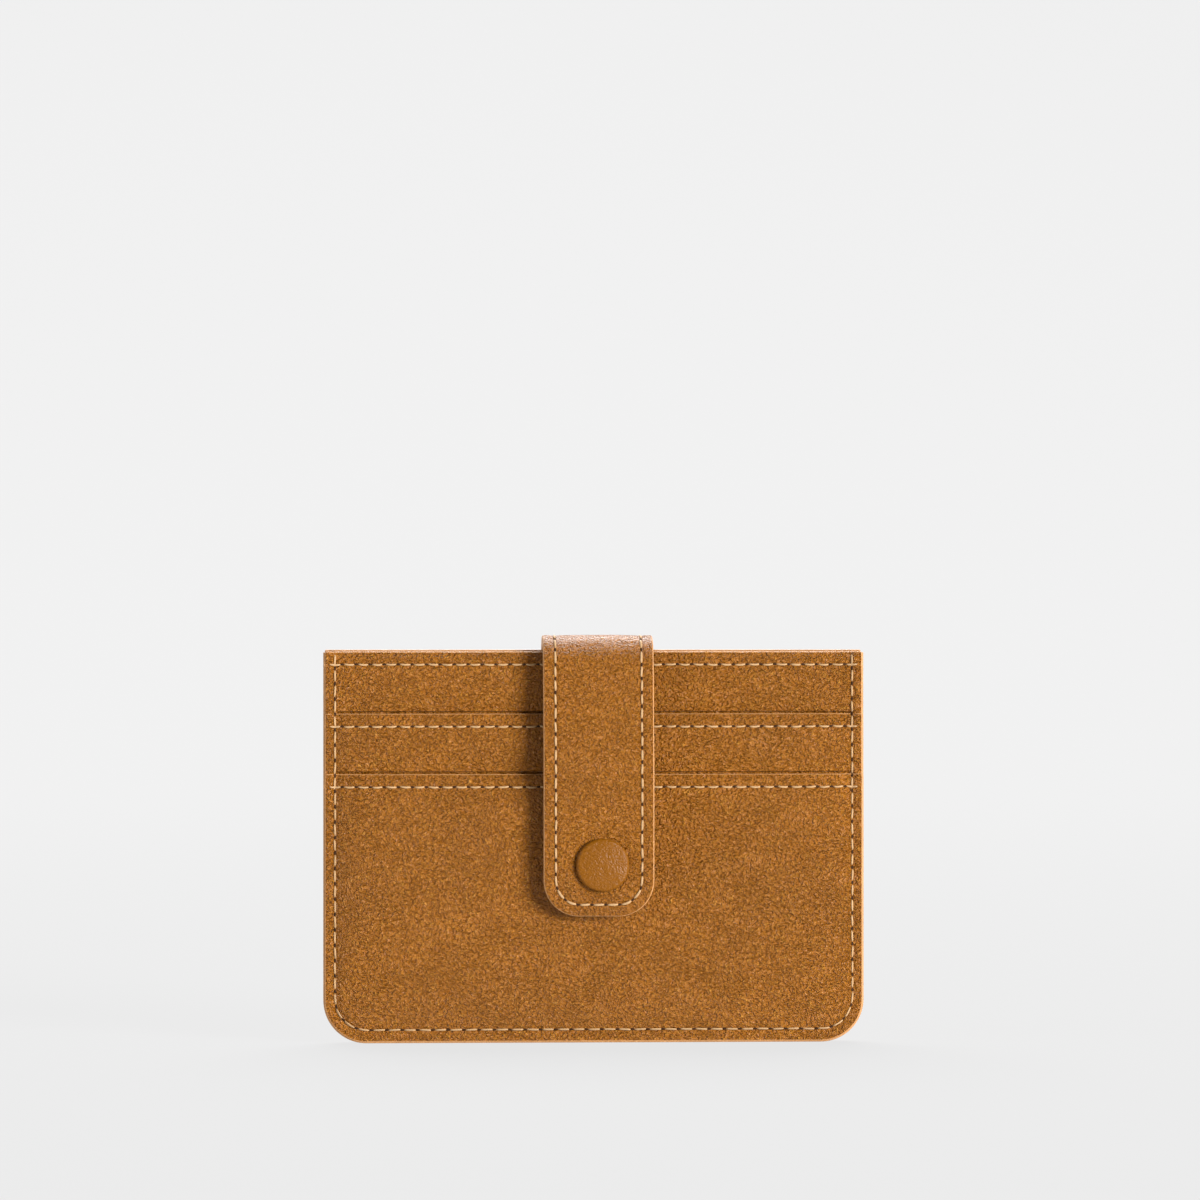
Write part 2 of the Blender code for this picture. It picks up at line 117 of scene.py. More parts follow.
@dataclass(frozen=True)
class Finish:
    """A leather, cloth, thread or metal finish and the nodes that make it."""

    name: str
    slot: str
    base: tuple[float, float, float]
    dark: tuple[float, float, float]
    light: tuple[float, float, float]
    roughness: float = 0.45
    grain_size: float = 0.8 * MM
    grain_bump: float = 0.25
    creasing: float = 1.0
    specular: float = 0.2
    metallic: float = 0.0
    weave: bool = False
    sheen: float = 0.0

    def make(self) -> bpy.types.Material:
        """Build the finish's material, or return it if it was built before.

        Returns:
            The material.
        """
        ready = bpy.data.materials.get(self.name)
        if ready:
            return ready
        material = bpy.data.materials.new(self.name)
        material.use_nodes = True
        tree = material.node_tree
        tree.nodes.clear()
        output = tree.nodes.new("ShaderNodeOutputMaterial")
        shader = tree.nodes.new("ShaderNodeBsdfPrincipled")
        tree.links.new(shader.outputs["BSDF"], output.inputs["Surface"])
        shader.inputs["Metallic"].default_value = self.metallic
        shader.inputs["Sheen Weight"].default_value = self.sheen
        shader.inputs["Specular IOR Level"].default_value = self.specular
        place = tree.nodes.new("ShaderNodeTexCoord").outputs["Object"]
        if self.weave:
            self._weave(tree, place, shader)
        else:
            self._hide(tree, place, shader)
        return material

    def _hide(self, tree: Tree, place: Socket, shader: bpy.types.Node) -> None:
        """Add a crinkled grain with creases, ridges, colour drift and uneven gloss; its colour is lighter on
        the higher lumps, ridges and folds and darker along the creases, partly the grain's own colour and
        partly painted highlight and painted shade of the relief.

        Args:
            tree: the material's nodes.
            place: the coordinates to read.
            shader: the surface shader.
        """
        size = self.grain_size
        swirl = self._shift(tree, place, self._noise(tree, place, 0.08 / size, 1.0, 0.5), 5.0 * size)
        curl = self._shift(tree, swirl, self._noise(tree, swirl, 0.7 / size, 1.0, 0.5), 1.3 * size)
        flat = tree.nodes.new("ShaderNodeVectorMath")
        flat.operation = "MULTIPLY"
        flat.inputs[1].default_value = (1.0, 1.0, 1.45)
        tree.links.new(curl, flat.inputs[0])

        lumps = self._noise(tree, flat.outputs["Vector"], 1.1 / size, 1.2, 0.5).outputs["Fac"]
        breaks = self._noise(tree, place, 1.1 / size, 1.0, 0.5).outputs["Fac"]
        longer = self._noise(tree, curl, 0.5 / size, 1.5, 0.5).outputs["Fac"]
        fine = self._noise(tree, place, 3.2 / size, 2.0, 0.6).outputs["Fac"]
        broad = self._noise(tree, place, 0.035 / size, 2.0, 0.6).outputs["Fac"]
        strokes = self._span(tree, breaks, (0.44, 0.62), (0.0, 1.0))
        ridges = self._join(tree, "MULTIPLY", self._line(tree, lumps, 0.57, 0.045), strokes)
        creases = self._line(tree, lumps, 0.40, 0.06)
        folds = self._join(tree, "MULTIPLY", self._line(tree, longer, 0.52, 0.035), strokes)
        net = self._line(tree, lumps, 0.50, 0.08)

        creasing = self.creasing
        relief = self._blend_of(
            tree, ((lumps, 0.75), (net, 0.07 * creasing), (folds, 0.14 * creasing), (fine, 0.05))
        )
        # Colour lighter on higher lumps, ridges and folds and darker in creases: the grain's own colour plus
        # painted highlight and painted shade of the relief.
        grain_colour_and_painted_relief_light = self._blend_of(
            tree,
            (
                (fine, 0.66), (lumps, 0.22), (creases, -0.06 * creasing), (ridges, 0.16 * creasing),
                (folds, 0.34 * creasing),
            ),
        )
        ramp = tree.nodes.new("ShaderNodeValToRGB")
        stops = ramp.color_ramp.elements
        middle = stops.new(0.46)
        middle.color = (*self.base, 1.0)
        stops[0].position = 0.25
        stops[0].color = (*self.dark, 1.0)
        stops[-1].position = 0.78
        stops[-1].color = (*self.light, 1.0)
        tree.links.new(grain_colour_and_painted_relief_light, ramp.inputs["Fac"])

        tint = tree.nodes.new("ShaderNodeHueSaturation")
        tree.links.new(ramp.outputs["Color"], tint.inputs["Color"])
        tree.links.new(self._span(tree, broad, (0.3, 0.7), (0.93, 1.07)), tint.inputs["Value"])
        tree.links.new(tint.outputs["Color"], shader.inputs["Base Color"])
        gloss = self._span(tree, fine, (0.3, 0.7), (self.roughness - 0.06, self.roughness + 0.08))
        tree.links.new(gloss, shader.inputs["Roughness"])
        self._bump(tree, relief, shader, 3.2 * size)

    def _weave(self, tree: Tree, place: Socket, shader: bpy.types.Node) -> None:
        """Add crossed or twisted yarns.

        Args:
            tree: the material's nodes.
            place: the coordinates to read.
            shader: the surface shader.
        """
        yarns = []
        for direction in ("X", "Z"):
            wave = tree.nodes.new("ShaderNodeTexWave")
            wave.bands_direction = direction
            wave.inputs["Scale"].default_value = 0.32 / self.grain_size
            wave.inputs["Distortion"].default_value = 1.2
            wave.inputs["Detail"].default_value = 1.0
            tree.links.new(place, wave.inputs["Vector"])
            yarns.append(wave.outputs["Fac"])
        crossed = self._join(tree, "MAXIMUM", *yarns)
        mix = tree.nodes.new("ShaderNodeMix")
        mix.data_type = "RGBA"
        mix.inputs["A"].default_value = (*self.dark, 1.0)
        mix.inputs["B"].default_value = (*self.light, 1.0)
        tree.links.new(crossed, mix.inputs["Factor"])
        tree.links.new(mix.outputs["Result"], shader.inputs["Base Color"])
        shader.inputs["Roughness"].default_value = self.roughness
        self._bump(tree, crossed, shader, 0.2 * self.grain_size)

    def _shift(self, tree: Tree, place: Socket, texture: bpy.types.Node, amount: float) -> Socket:
        """Shift coordinates by a noise.

        Args:
            tree: the material's nodes.
            place: the coordinates to shift.
            texture: the noise.
            amount: size of the shift, in metres.

        Returns:
            The shifted coordinates.
        """
        node = tree.nodes.new("ShaderNodeVectorMath")
        node.operation = "MULTIPLY_ADD"
        node.inputs[1].default_value = (amount, amount, amount)
        tree.links.new(texture.outputs["Color"], node.inputs[0])
        tree.links.new(place, node.inputs[2])
        return node.outputs["Vector"]

    def _noise(self, tree: Tree, place: Socket, scale: float, detail: float, rough: float) -> bpy.types.Node:
        """Add a noise texture.

        Args:
            tree: the material's nodes.
            place: the coordinates to read.
            scale: features per metre.
            detail: octaves.
            rough: strength of the higher octaves.

        Returns:
            The texture's node.
        """
        node = tree.nodes.new("ShaderNodeTexNoise")
        node.inputs["Scale"].default_value = scale
        node.inputs["Detail"].default_value = detail
        node.inputs["Roughness"].default_value = rough
        tree.links.new(place, node.inputs["Vector"])
        return node

    def _span(
        self, tree: Tree, value: Socket, source: tuple[float, float], target: tuple[float, float],
        interpolation: str = "LINEAR",
    ) -> Socket:
        """Map a range of values on another range.

        Args:
            tree: the material's nodes.
            value: the value to map.
            source: the range it is read over.
            target: the range it is mapped on.
            interpolation: the node's kind of interpolation.

        Returns:
            The mapped value.
        """
        node = tree.nodes.new("ShaderNodeMapRange")
        node.interpolation_type = interpolation
        for key, number in zip(("From Min", "From Max", "To Min", "To Max"), (*source, *target)):
            node.inputs[key].default_value = number
        tree.links.new(value, node.inputs["Value"])
        return node.outputs["Result"]

    def _line(self, tree: Tree, value: Socket, level: float, width: float) -> Socket:
        """Return thin lines where a noise crosses a level.

        Args:
            tree: the material's nodes.
            value: the noise.
            level: the level.
            width: half the width of a line, in the noise's units.

        Returns:
            1 on a line, 0 away from it.
        """
        away = self._math(tree, "ABSOLUTE", self._math(tree, "SUBTRACT", value, level), 0.0)
        return self._span(tree, away, (0.0, width), (1.0, 0.0), "SMOOTHSTEP")

    def _math(self, tree: Tree, operation: str, value: Socket, by: float) -> Socket:
        """Add a math node.

        Args:
            tree: the material's nodes.
            operation: the node's operation.
            value: the first input.
            by: the second input's constant.

        Returns:
            The result's socket.
        """
        node = tree.nodes.new("ShaderNodeMath")
        node.operation = operation
        tree.links.new(value, node.inputs[0])
        node.inputs[1].default_value = by
        return node.outputs[0]

    def _join(self, tree: Tree, operation: str, first: Socket, second: Socket) -> Socket:
        """Add a math node that reads two sockets.

        Args:
            tree: the material's nodes.
            operation: the node's operation.
            first: the first input.
            second: the second input.

        Returns:
            The result's socket.
        """
        result = self._math(tree, operation, first, 0.0)
        tree.links.new(second, result.node.inputs[1])
        return result

    def _blend_of(self, tree: Tree, shares: tuple[tuple[Socket, float], ...]) -> Socket:
        """Return a weighted sum.

        Args:
            tree: the material's nodes.
            shares: each value with its weight.

        Returns:
            The sum's socket.
        """
        weighted = [self._math(tree, "MULTIPLY", value, weight) for value, weight in shares]
        total = weighted[0]
        for value in weighted[1:]:
            total = self._join(tree, "ADD", total, value)
        return total

    def _bump(self, tree: Tree, height: Socket, shader: bpy.types.Node, distance: float) -> None:
        """Add a bump from a height.

        Args:
            tree: the material's nodes.
            height: the height's socket.
            shader: the surface shader.
            distance: the height of one unit, in metres.
        """
        bump = tree.nodes.new("ShaderNodeBump")
        bump.inputs["Strength"].default_value = self.grain_bump
        bump.inputs["Distance"].default_value = distance
        tree.links.new(height, bump.inputs["Height"])
        tree.links.new(bump.outputs["Normal"], shader.inputs["Normal"])


HIDE = Finish(
    "tan_crinkled_leather", "leather", (0.270, 0.090, 0.003), (0.190, 0.055, 0.001), (0.440, 0.185, 0.022),
    roughness=0.37, grain_size=0.66 * MM, grain_bump=1.0, specular=0.32,
)
STRAP_HIDE = Finish(
    "tan_strap_leather", "strap_leather", (0.270, 0.090, 0.003), (0.190, 0.055, 0.001), (0.430, 0.180, 0.022),
    roughness=0.36, grain_size=0.62 * MM, grain_bump=0.95, specular=0.30,
)
CAP_HIDE = Finish(
    "tan_cap_leather", "cap_leather", (0.190, 0.065, 0.002), (0.145, 0.045, 0.001), (0.250, 0.092, 0.008),
    roughness=0.34, grain_size=0.5 * MM, grain_bump=0.3, creasing=0.4, specular=0.18,
)
# The edge paint's colour: partly the paint's own lighter colour and partly a painted highlight along the
# rounded rims.
EDGE_PAINT_AND_HIGHLIGHT = Finish(
    "painted_leather_edge_and_highlight", "leather", (0.46, 0.225, 0.085), (0.35, 0.155, 0.050), (0.58, 0.33, 0.15),
    roughness=0.42, grain_size=0.3 * MM, grain_bump=0.12,
)
FLESH = Finish(
    "suede_flesh_side", "leather", (0.30, 0.14, 0.05), (0.20, 0.085, 0.025), (0.40, 0.21, 0.09),
    roughness=0.85, grain_size=0.4 * MM, grain_bump=0.3, sheen=0.3,
)
LINING_CLOTH = Finish(
    "woven_lining", "lining_cloth", (0.10, 0.055, 0.025), (0.05, 0.025, 0.010), (0.14, 0.08, 0.04),
    roughness=0.85, grain_size=0.25 * MM, grain_bump=0.4, weave=True,
)
THREAD = Finish(
    "beige_sewing_thread", "thread", (0.37, 0.215, 0.095), (0.28, 0.150, 0.060), (0.50, 0.315, 0.155),
    roughness=0.55, grain_size=0.09 * MM, grain_bump=0.4, weave=True, sheen=0.1,
)
# Near-black colour of the discs at the needle holes: painted shade for the dark inside of each hole.
NEEDLE_HOLE_SHADE = Finish(
    "needle_hole_painted_shade", "leather", (0.034, 0.012, 0.0025), (0.022, 0.008, 0.002), (0.048, 0.018, 0.004),
    roughness=0.8, grain_size=0.2 * MM, grain_bump=0.05,
)
BRASS = Finish(
    "satin_brass", "brass", (0.60, 0.42, 0.16), (0.50, 0.34, 0.12), (0.68, 0.50, 0.22),
    roughness=0.28, grain_size=0.5 * MM, grain_bump=0.03, metallic=1.0, specular=0.5,
)
STEEL = Finish(
    "spring_steel", "spring_steel", (0.5, 0.5, 0.5), (0.42, 0.42, 0.42), (0.6, 0.6, 0.6),
    roughness=0.25, grain_size=0.3 * MM, grain_bump=0.03, metallic=1.0, specular=0.5,
)


# ---------------------------------------------------------------- bench tools


class Bench:
    """Modelling operations used on every piece."""

    @staticmethod
    def clear() -> None:
        """Leave edit mode and deselect everything."""
        if bpy.context.object and bpy.context.object.mode != "OBJECT":
            bpy.ops.object.mode_set(mode="OBJECT")
        bpy.ops.object.select_all(action="DESELECT")

    @staticmethod
    def hold(piece: bpy.types.Object) -> None:
        """Select only one piece and make it active.

        Args:
            piece: the piece.
        """
        Bench.clear()
        piece.select_set(True)
        bpy.context.view_layer.objects.active = piece

    @staticmethod
    def named(name: str) -> bpy.types.Object:
        """Name the piece just added, and put its place into its mesh.

        Args:
            name: the piece's name.

        Returns:
            The piece.
        """
        piece = bpy.context.object
        piece.name = name
        piece.data.name = name
        bpy.ops.object.transform_apply(location=True, rotation=True, scale=True)
        return piece

    @staticmethod
    def grid(name: str, width: float, height: float, cell: float) -> bpy.types.Object:
        """Add a flat grid in the XZ plane, facing the front, with its middle at the origin.

        Args:
            name: the piece's name.
            width: size along X.
            height: size along Z.
            cell: size of one cell.

        Returns:
            The new piece.
        """
        Bench.clear()
        bpy.ops.mesh.primitive_grid_add(
            x_subdivisions=round(width / cell),
            y_subdivisions=round(height / cell),
            size=1.0,
            rotation=(math.radians(90), 0.0, 0.0),
        )
        bpy.context.object.scale = (width, height, 1.0)
        return Bench.named(name)

    @staticmethod
    def points(piece: bpy.types.Object) -> Array:
        """Return a piece's vertices.

        Args:
            piece: the piece.

        Returns:
            N x 3 positions.
        """
        flat = np.empty(len(piece.data.vertices) * 3)
        piece.data.vertices.foreach_get("co", flat)
        return flat.reshape(-1, 3)

    @staticmethod
    def move(piece: bpy.types.Object, points: Array) -> None:
        """Set a piece's vertices."""
        piece.data.vertices.foreach_set("co", points.astype(np.float32).ravel())
        piece.data.update()

    @staticmethod
    def normals(piece: bpy.types.Object) -> Array:
        """Return a piece's face normals.

        Args:
            piece: the piece.

        Returns:
            N x 3 directions.
        """
        flat = np.empty(len(piece.data.polygons) * 3)
        piece.data.polygons.foreach_get("normal", flat)
        return flat.reshape(-1, 3)

    @staticmethod
    def thicken(piece: bpy.types.Object, thickness: float, bevel: float, segments: int) -> None:
        """Give a flat sheet its thickness and round its rim.

        Args:
            piece: the sheet.
            thickness: its thickness, behind the good side.
            bevel: width of the rounding.
            segments: steps of the rounding.
        """
        Bench.hold(piece)
        solid = piece.modifiers.new("Thickness", "SOLIDIFY")
        solid.thickness = thickness
        solid.offset = -1.0
        bpy.ops.object.modifier_apply(modifier=solid.name)
        bpy.ops.object.mode_set(mode="EDIT")
        bpy.ops.mesh.select_mode(type="EDGE")
        bpy.ops.mesh.select_all(action="DESELECT")
        bpy.ops.mesh.edges_select_sharp(sharpness=math.radians(60))
        bpy.ops.mesh.bevel(offset=bevel, segments=segments, affect="EDGES")
        bpy.ops.object.mode_set(mode="OBJECT")

    @staticmethod
    def finish_mesh(piece: bpy.types.Object, angle: float = 50.0) -> None:
        """Turn every face outwards and shade the piece smooth up to an angle.

        Args:
            piece: the piece.
            angle: sharpest angle that stays smooth, in degrees.
        """
        Bench.hold(piece)
        bpy.ops.object.mode_set(mode="EDIT")
        bpy.ops.mesh.select_all(action="SELECT")
        bpy.ops.mesh.normals_make_consistent(inside=False)
        bpy.ops.object.mode_set(mode="OBJECT")
        bpy.ops.object.shade_smooth_by_angle(angle=math.radians(angle), keep_sharp_edges=False)
        Bench.clear()

    @staticmethod
    def dress(piece: bpy.types.Object, finishes: list[Finish]) -> None:
        """Give a piece its finishes, in slot order.

        Args:
            piece: the piece.
            finishes: one finish for each material slot.
        """
        for finish in finishes:
            piece.data.materials.append(finish.make())


def to_outline(points: Array, half: float, bottom: float, top: float, low: float, high: float) -> Array:
    """Round the corners of a rectangle's grid without tearing it.

    Args:
        points: N x 3 vertices; x and z are read and changed.
        half: half the width.
        bottom: height of the lower edge.
        top: height of the upper edge.
        low: radius of the lower corners.
        high: radius of the upper corners.

    Returns:
        The moved vertices.
    """
    moved = points.copy()
    for radius, edge, sign in ((low, bottom, -1.0), (high, top, 1.0)):
        if radius <= 0.0:
            continue
        across = np.abs(moved[:, 0]) - (half - radius)
        along = sign * (moved[:, 2] - edge) + radius
        corner = (across > 0.0) & (along > 0.0)
        longest = np.maximum(across, along)
        length = np.hypot(across, along)
        share = np.where(corner, longest / np.maximum(length, 1e-9), 1.0)
        moved[:, 0] = np.where(corner, np.sign(moved[:, 0]) * (half - radius + across * share), moved[:, 0])
        moved[:, 2] = np.where(corner, edge + sign * (along * share - radius), moved[:, 2])
    return moved


# ---------------------------------------------------------------- the frame's sizes


@dataclass
class HolderSizes:
    """Sizes of the holder, read from the frame."""

    half: float = field(init=False)
    height: float = field(init=False)
    slot_top: float = field(init=False)
    slot_foot: float = field(init=False)
    pocket_top: float = field(init=False)
    base_face: float = field(init=False)
    slot_face: float = field(init=False)
    pocket_face: float = field(init=False)
    back_face: float = field(init=False)
    corner: float = 8.0 * MM
    side_seam: float = 2.15 * MM
    bottom_seam: float = 2.5 * MM
    edge_seam: float = 2.35 * MM
    edge_band: float = 0.3 * MM
    edge_bulge: float = 0.25 * MM

    def __post_init__(self) -> None:
        """Read the sizes of the leather layers."""
        base_low, base_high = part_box("base_panel")
        slot_low, slot_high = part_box("middle_slot_strip")
        pocket_low, pocket_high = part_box("front_pocket_panel")
        self.half = base_high.x + self.edge_bulge
        self.height = base_high.z
        self.slot_top = slot_high.z
        self.slot_foot = slot_low.z
        self.pocket_top = pocket_high.z
        self.base_face = base_low.y
        self.slot_face = slot_low.y
        self.pocket_face = pocket_low.y
        self.back_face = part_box("back_panel")[1].y

    def inside(self, x: Array, z: Array) -> Array:
        """Return how far points lie inside the sides and the bottom of the outline.

        Args:
            x: positions across.
            z: heights.

        Returns:
            Distances in metres, negative outside.
        """
        across = np.abs(x) - (self.half - self.corner)
        down = self.corner - z
        corner = np.hypot(np.maximum(across, 0.0), np.maximum(down, 0.0))
        return self.corner - np.where((across > 0) | (down > 0), corner, np.maximum(across, down))


SIZES = HolderSizes()


# ---------------------------------------------------------------- leather layers


@dataclass
class LeatherLayer:
    """One leather layer of the holder, pillowed in its middle and pressed thin along its seams."""

    name: str
    node: str
    facing: Side
    bottom: float
    top: float
    face: float
    pressed_face: float
    thickness: float
    pressed_thickness: float
    seed: float
    topstitch: bool = True
    presses_bottom: bool = False
    rounds_bottom: bool = False
    cell: float = 0.4 * MM
    pillow_run: float = 3.4 * MM
    sag: float = 0.0
    covered_to: float = 0.0
    lip_curl: float = 1.0

    def depth(self, x: Array, z: Array) -> Array:
        """Return the depth of the layer's good side.

        Args:
            x: positions across.
            z: heights.

        Returns:
            Y of the surface.
        """
        side = SIZES.half - np.abs(x)
        inside = SIZES.inside(x, z) if self.presses_bottom else side
        seam = SIZES.side_seam
        pressed = np.exp(-np.maximum(inside - seam, 0.0) / self.pillow_run)
        pressed = np.where(inside < seam, 1.0, pressed)
        face = self.face + (self.pressed_face - self.face) * pressed
        points = np.stack([x, np.full_like(x, self.seed * MM), z], axis=1)
        out = 0.10 * MM * grain(points, 16 * MM, self.seed)
        out += 0.09 * MM * grain(points, 4.5 * MM, self.seed + 3.1)
        fold = np.abs(grain(points * np.array([1.0, 1.0, 1.5]), 3.0 * MM, self.seed + 8.3))
        out += 0.08 * MM * np.exp(-((fold / 0.10) ** 2)) * (0.5 + grain(points, 9 * MM, self.seed + 1.9))
        out += 0.045 * MM * grain(points * np.array([1.0, 1.0, 1.6]), 1.5 * MM, self.seed + 5.7)
        out *= 0.35 + 0.65 * (1.0 - pressed)
        out += self._seam_relief(inside, z, x, seam, SIZES.side_seam)
        if self.topstitch:
            drop = self.top - z
            open_part = smooth(side, 0.7 * MM, 3.2 * MM)
            out += self._seam_relief(drop, x, z, SIZES.edge_seam, 3.2 * MM)
            out -= 0.5 * MM * self.lip_curl * np.exp(-((drop / (1.15 * MM)) ** 2)) * open_part
            lift = 1.0 - np.exp(-np.maximum(drop - SIZES.edge_seam, 0.0) / (3.0 * MM))
            out += 0.42 * MM * self.lip_curl * (lift - 1.0) * open_part
        out += 0.05 * MM * np.sin(np.pi * np.clip(inside / seam, 0.0, 1.0))
        bow = (1.0 - (x / SIZES.half) ** 2) * smooth(z, self.bottom, self.top)
        out += self.sag * bow
        if self.covered_to > 0.0:
            over = z - self.covered_to
            inner = smooth(side, seam - 0.4 * MM, seam + 0.9 * MM)
            out -= 0.60 * MM * inner * (1.0 - smooth(over, 0.34 * MM, 0.46 * MM))
            out -= 0.34 * MM * inner * np.exp(-np.maximum(over, 0.0) / (1.6 * MM))
        return face + self.facing.value * out

    def _seam_relief(self, away: Array, along: Array, other: Array, inset: float, reach: float) -> Array:
        """Return the groove of a seam and the puckers that fan out from its holes.

        Args:
            away: distance from the edge that the seam follows.
            along: position along the seam.
            other: position across the seam.
            inset: the seam's distance from its edge.
            reach: how far the puckers run.

        Returns:
            Height to add.
        """
        gap = away - inset
        groove = -0.17 * MM * np.exp(-((gap / (0.42 * MM)) ** 2))
        pull = 0.5 + 0.5 * np.cos(2.0 * np.pi * along / (2.8 * MM) + 9.0 * other)
        groove *= 0.75 + 0.5 * pull
        fan = np.exp(-np.abs(gap) / (0.45 * reach)) * (1.0 - np.exp(-((gap / (0.5 * MM)) ** 2)))
        ripple = np.sin(2.0 * np.pi * along / (2.8 * MM))
        ripple += 0.8 * np.sin(2.0 * np.pi * along / (4.7 * MM) + 1.0)
        return groove + 0.022 * MM * fan * ripple

    def place(self, x: Array, z: Array, lift: Array) -> Array:
        """Return points on, or lifted off, the good side."""
        return np.stack([x, self.depth(x, z) + self.facing.value * lift, z], axis=1)

    def build(self) -> bpy.types.Object:
        """Model the layer.

        Returns:
            The finished piece.
        """
        half = SIZES.half - SIZES.edge_band
        bottom = self.bottom + (SIZES.edge_band if self.rounds_bottom else 0.0)
        height = self.top - bottom
        piece = Bench.grid(self.name, 2 * half, height, self.cell)
        Bench.thicken(piece, self.thickness, min(0.26 * MM, 0.4 * self.thickness), 3)
        self._mark_faces(piece)
        points = Bench.points(piece)
        points[:, 2] += bottom + height / 2
        if self.covered_to > 0.0:
            points[:, 2] = self._gather_rows(points[:, 2])
        inward = np.clip(points[:, 1] / self.thickness, 0.0, 1.0)
        corner = SIZES.corner - SIZES.edge_band
        if self.rounds_bottom:
            points = to_outline(points, half, bottom, self.top, corner, 0.0)
        x, z = points[:, 0], points[:, 2]
        inside = SIZES.inside(x, z) if self.presses_bottom else SIZES.half - np.abs(x)
        pressed = np.exp(-np.maximum(inside - SIZES.side_seam, 0.0) / self.pillow_run)
        thickness = self.thickness + (self.pressed_thickness - self.thickness) * pressed
        points[:, 1] = self.depth(x, z) - self.facing.value * thickness * inward
        Bench.move(piece, points)
        Bench.finish_mesh(piece)
        Bench.dress(piece, [HIDE, EDGE_PAINT_AND_HIGHLIGHT, FLESH])
        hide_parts(self.node)
        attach(piece, "holder")
        return piece

    def _gather_rows(self, z: Array) -> Array:
        """Draw the grid's rows together where the layer is pressed back behind the next lip.

        Args:
            z: heights of the vertices.

        Returns:
            The moved heights.
        """
        middle = self.covered_to + 0.31 * MM
        reach = 3.0 * MM
        gap = (z - middle) / reach
        near = np.abs(gap) < 1.0
        drawn = np.sign(gap) * np.abs(gap) ** 2.2
        return np.where(near, middle + reach * drawn, z)

    def _mark_faces(self, piece: bpy.types.Object) -> None:
        """Give the rim and the rough side their own finishes; the rim's edge paint is lighter, partly its own
        colour and partly a painted highlight.

        Args:
            piece: the flat layer.
        """
        towards = Bench.normals(piece)[:, 1]
        slots = np.where(towards < -0.9, 0, np.where(towards > 0.9, 2, 1)).astype(np.int32)
        piece.data.polygons.foreach_set("material_index", slots)


@dataclass
class EdgeBand:
    """The painted edge that closes the sides and the bottom of the stack, lighter partly by its paint's own
    colour and partly as a painted highlight along its rounded rim.
    """

    layers: dict[str, LeatherLayer]
    width: float = 0.95 * MM
    rounding: float = 0.42 * MM

    def build(self) -> bpy.types.Object:
        """Model the band as a tube swept round the outline.

        Returns:
            The finished piece.
        """
        Bench.clear()
        bpy.ops.mesh.primitive_cylinder_add(vertices=28, radius=1.0, depth=1.0, end_fill_type="NGON")
        piece = Bench.named("edge_paint_and_highlight_band")
        Bench.hold(piece)
        for edge in piece.data.edges:
            low, high = (piece.data.vertices[i].co.z for i in edge.vertices)
            edge.select = abs(low - high) > 0.5
        for face in piece.data.polygons:
            face.select = False
        bpy.ops.object.mode_set(mode="EDIT")
        bpy.ops.mesh.select_mode(type="EDGE")
        bpy.ops.mesh.subdivide(number_cuts=99)
        bpy.ops.mesh.subdivide(number_cuts=3)
        bpy.ops.object.mode_set(mode="OBJECT")
        points = Bench.points(piece)
        angle = np.arctan2(points[:, 1], points[:, 0])
        path, outward = self._outline(points[:, 2] + 0.5)
        z = path[:, 1]
        pocket = self.layers["pocket"].pressed_face
        slot = self.layers["slot"].pressed_face
        base = self.layers["base"].pressed_face
        front = pocket + (slot - pocket) * smooth(z, SIZES.pocket_top - 0.9 * MM, SIZES.pocket_top + 0.1 * MM)
        front += (base - slot) * smooth(z, SIZES.slot_top - 0.9 * MM, SIZES.slot_top + 0.1 * MM)
        front += 0.2 * MM
        back = self.layers["back"].pressed_face - 0.12 * MM
        radius = self.rounding
        half_width = self.width / 2 - radius
        half_depth = (back - front) / 2 - radius
        sine, cosine = np.sin(angle), np.cos(angle)
        across = np.sign(cosine) * half_width + radius * cosine
        depth = (front + back) / 2 + np.sign(sine) * half_depth + radius * sine
        shift = across - self.width / 2
        points = np.stack([path[:, 0] + outward[:, 0] * shift, depth, z + outward[:, 1] * shift], axis=1)
        Bench.move(piece, points)
        Bench.finish_mesh(piece, 70.0)
        Bench.dress(piece, [EDGE_PAINT_AND_HIGHLIGHT])
        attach(piece, "holder")
        return piece

    def _outline(self, share: Array) -> tuple[Array, Array]:
        """Return points and outward directions along the outline, left side, bottom, right side.

        Args:
            share: place along the outline, from 0 to 1.

        Returns:
            N x 2 points (x, z) and N x 2 directions.
        """
        half, radius = SIZES.half, SIZES.corner
        side = SIZES.height - 0.15 * MM - radius
        quarter = math.pi * radius / 2
        flat = 2 * (half - radius)
        along = share * (2 * side + 2 * quarter + flat)
        left = along < side
        turn = np.clip((along - side) / quarter, 0.0, 1.0) * math.pi / 2
        after = along - side - quarter
        turn_again = np.clip((after - flat) / quarter, 0.0, 1.0) * math.pi / 2
        x = np.where(left, -half, -half + radius - radius * np.cos(turn))
        z = np.where(left, radius + side - along, radius - radius * np.sin(turn))
        x = np.where(after > 0, -half + radius + after, x)
        x = np.where(after > flat, half - radius + radius * np.sin(turn_again), x)
        z = np.where(after > flat, radius - radius * np.cos(turn_again), z)
        rise = after - flat - quarter
        x = np.where(rise > 0, half, x)
        z = np.where(rise > 0, radius + rise, z)
        heading = np.where(after > flat, turn_again, 0.0)
        out_x = np.where(after > 0, np.sin(heading), -np.cos(turn))
        out_z = np.where(after > 0, -np.cos(heading), -np.sin(turn))
        return np.stack([x, z], axis=1), np.stack([out_x, out_z], axis=1)


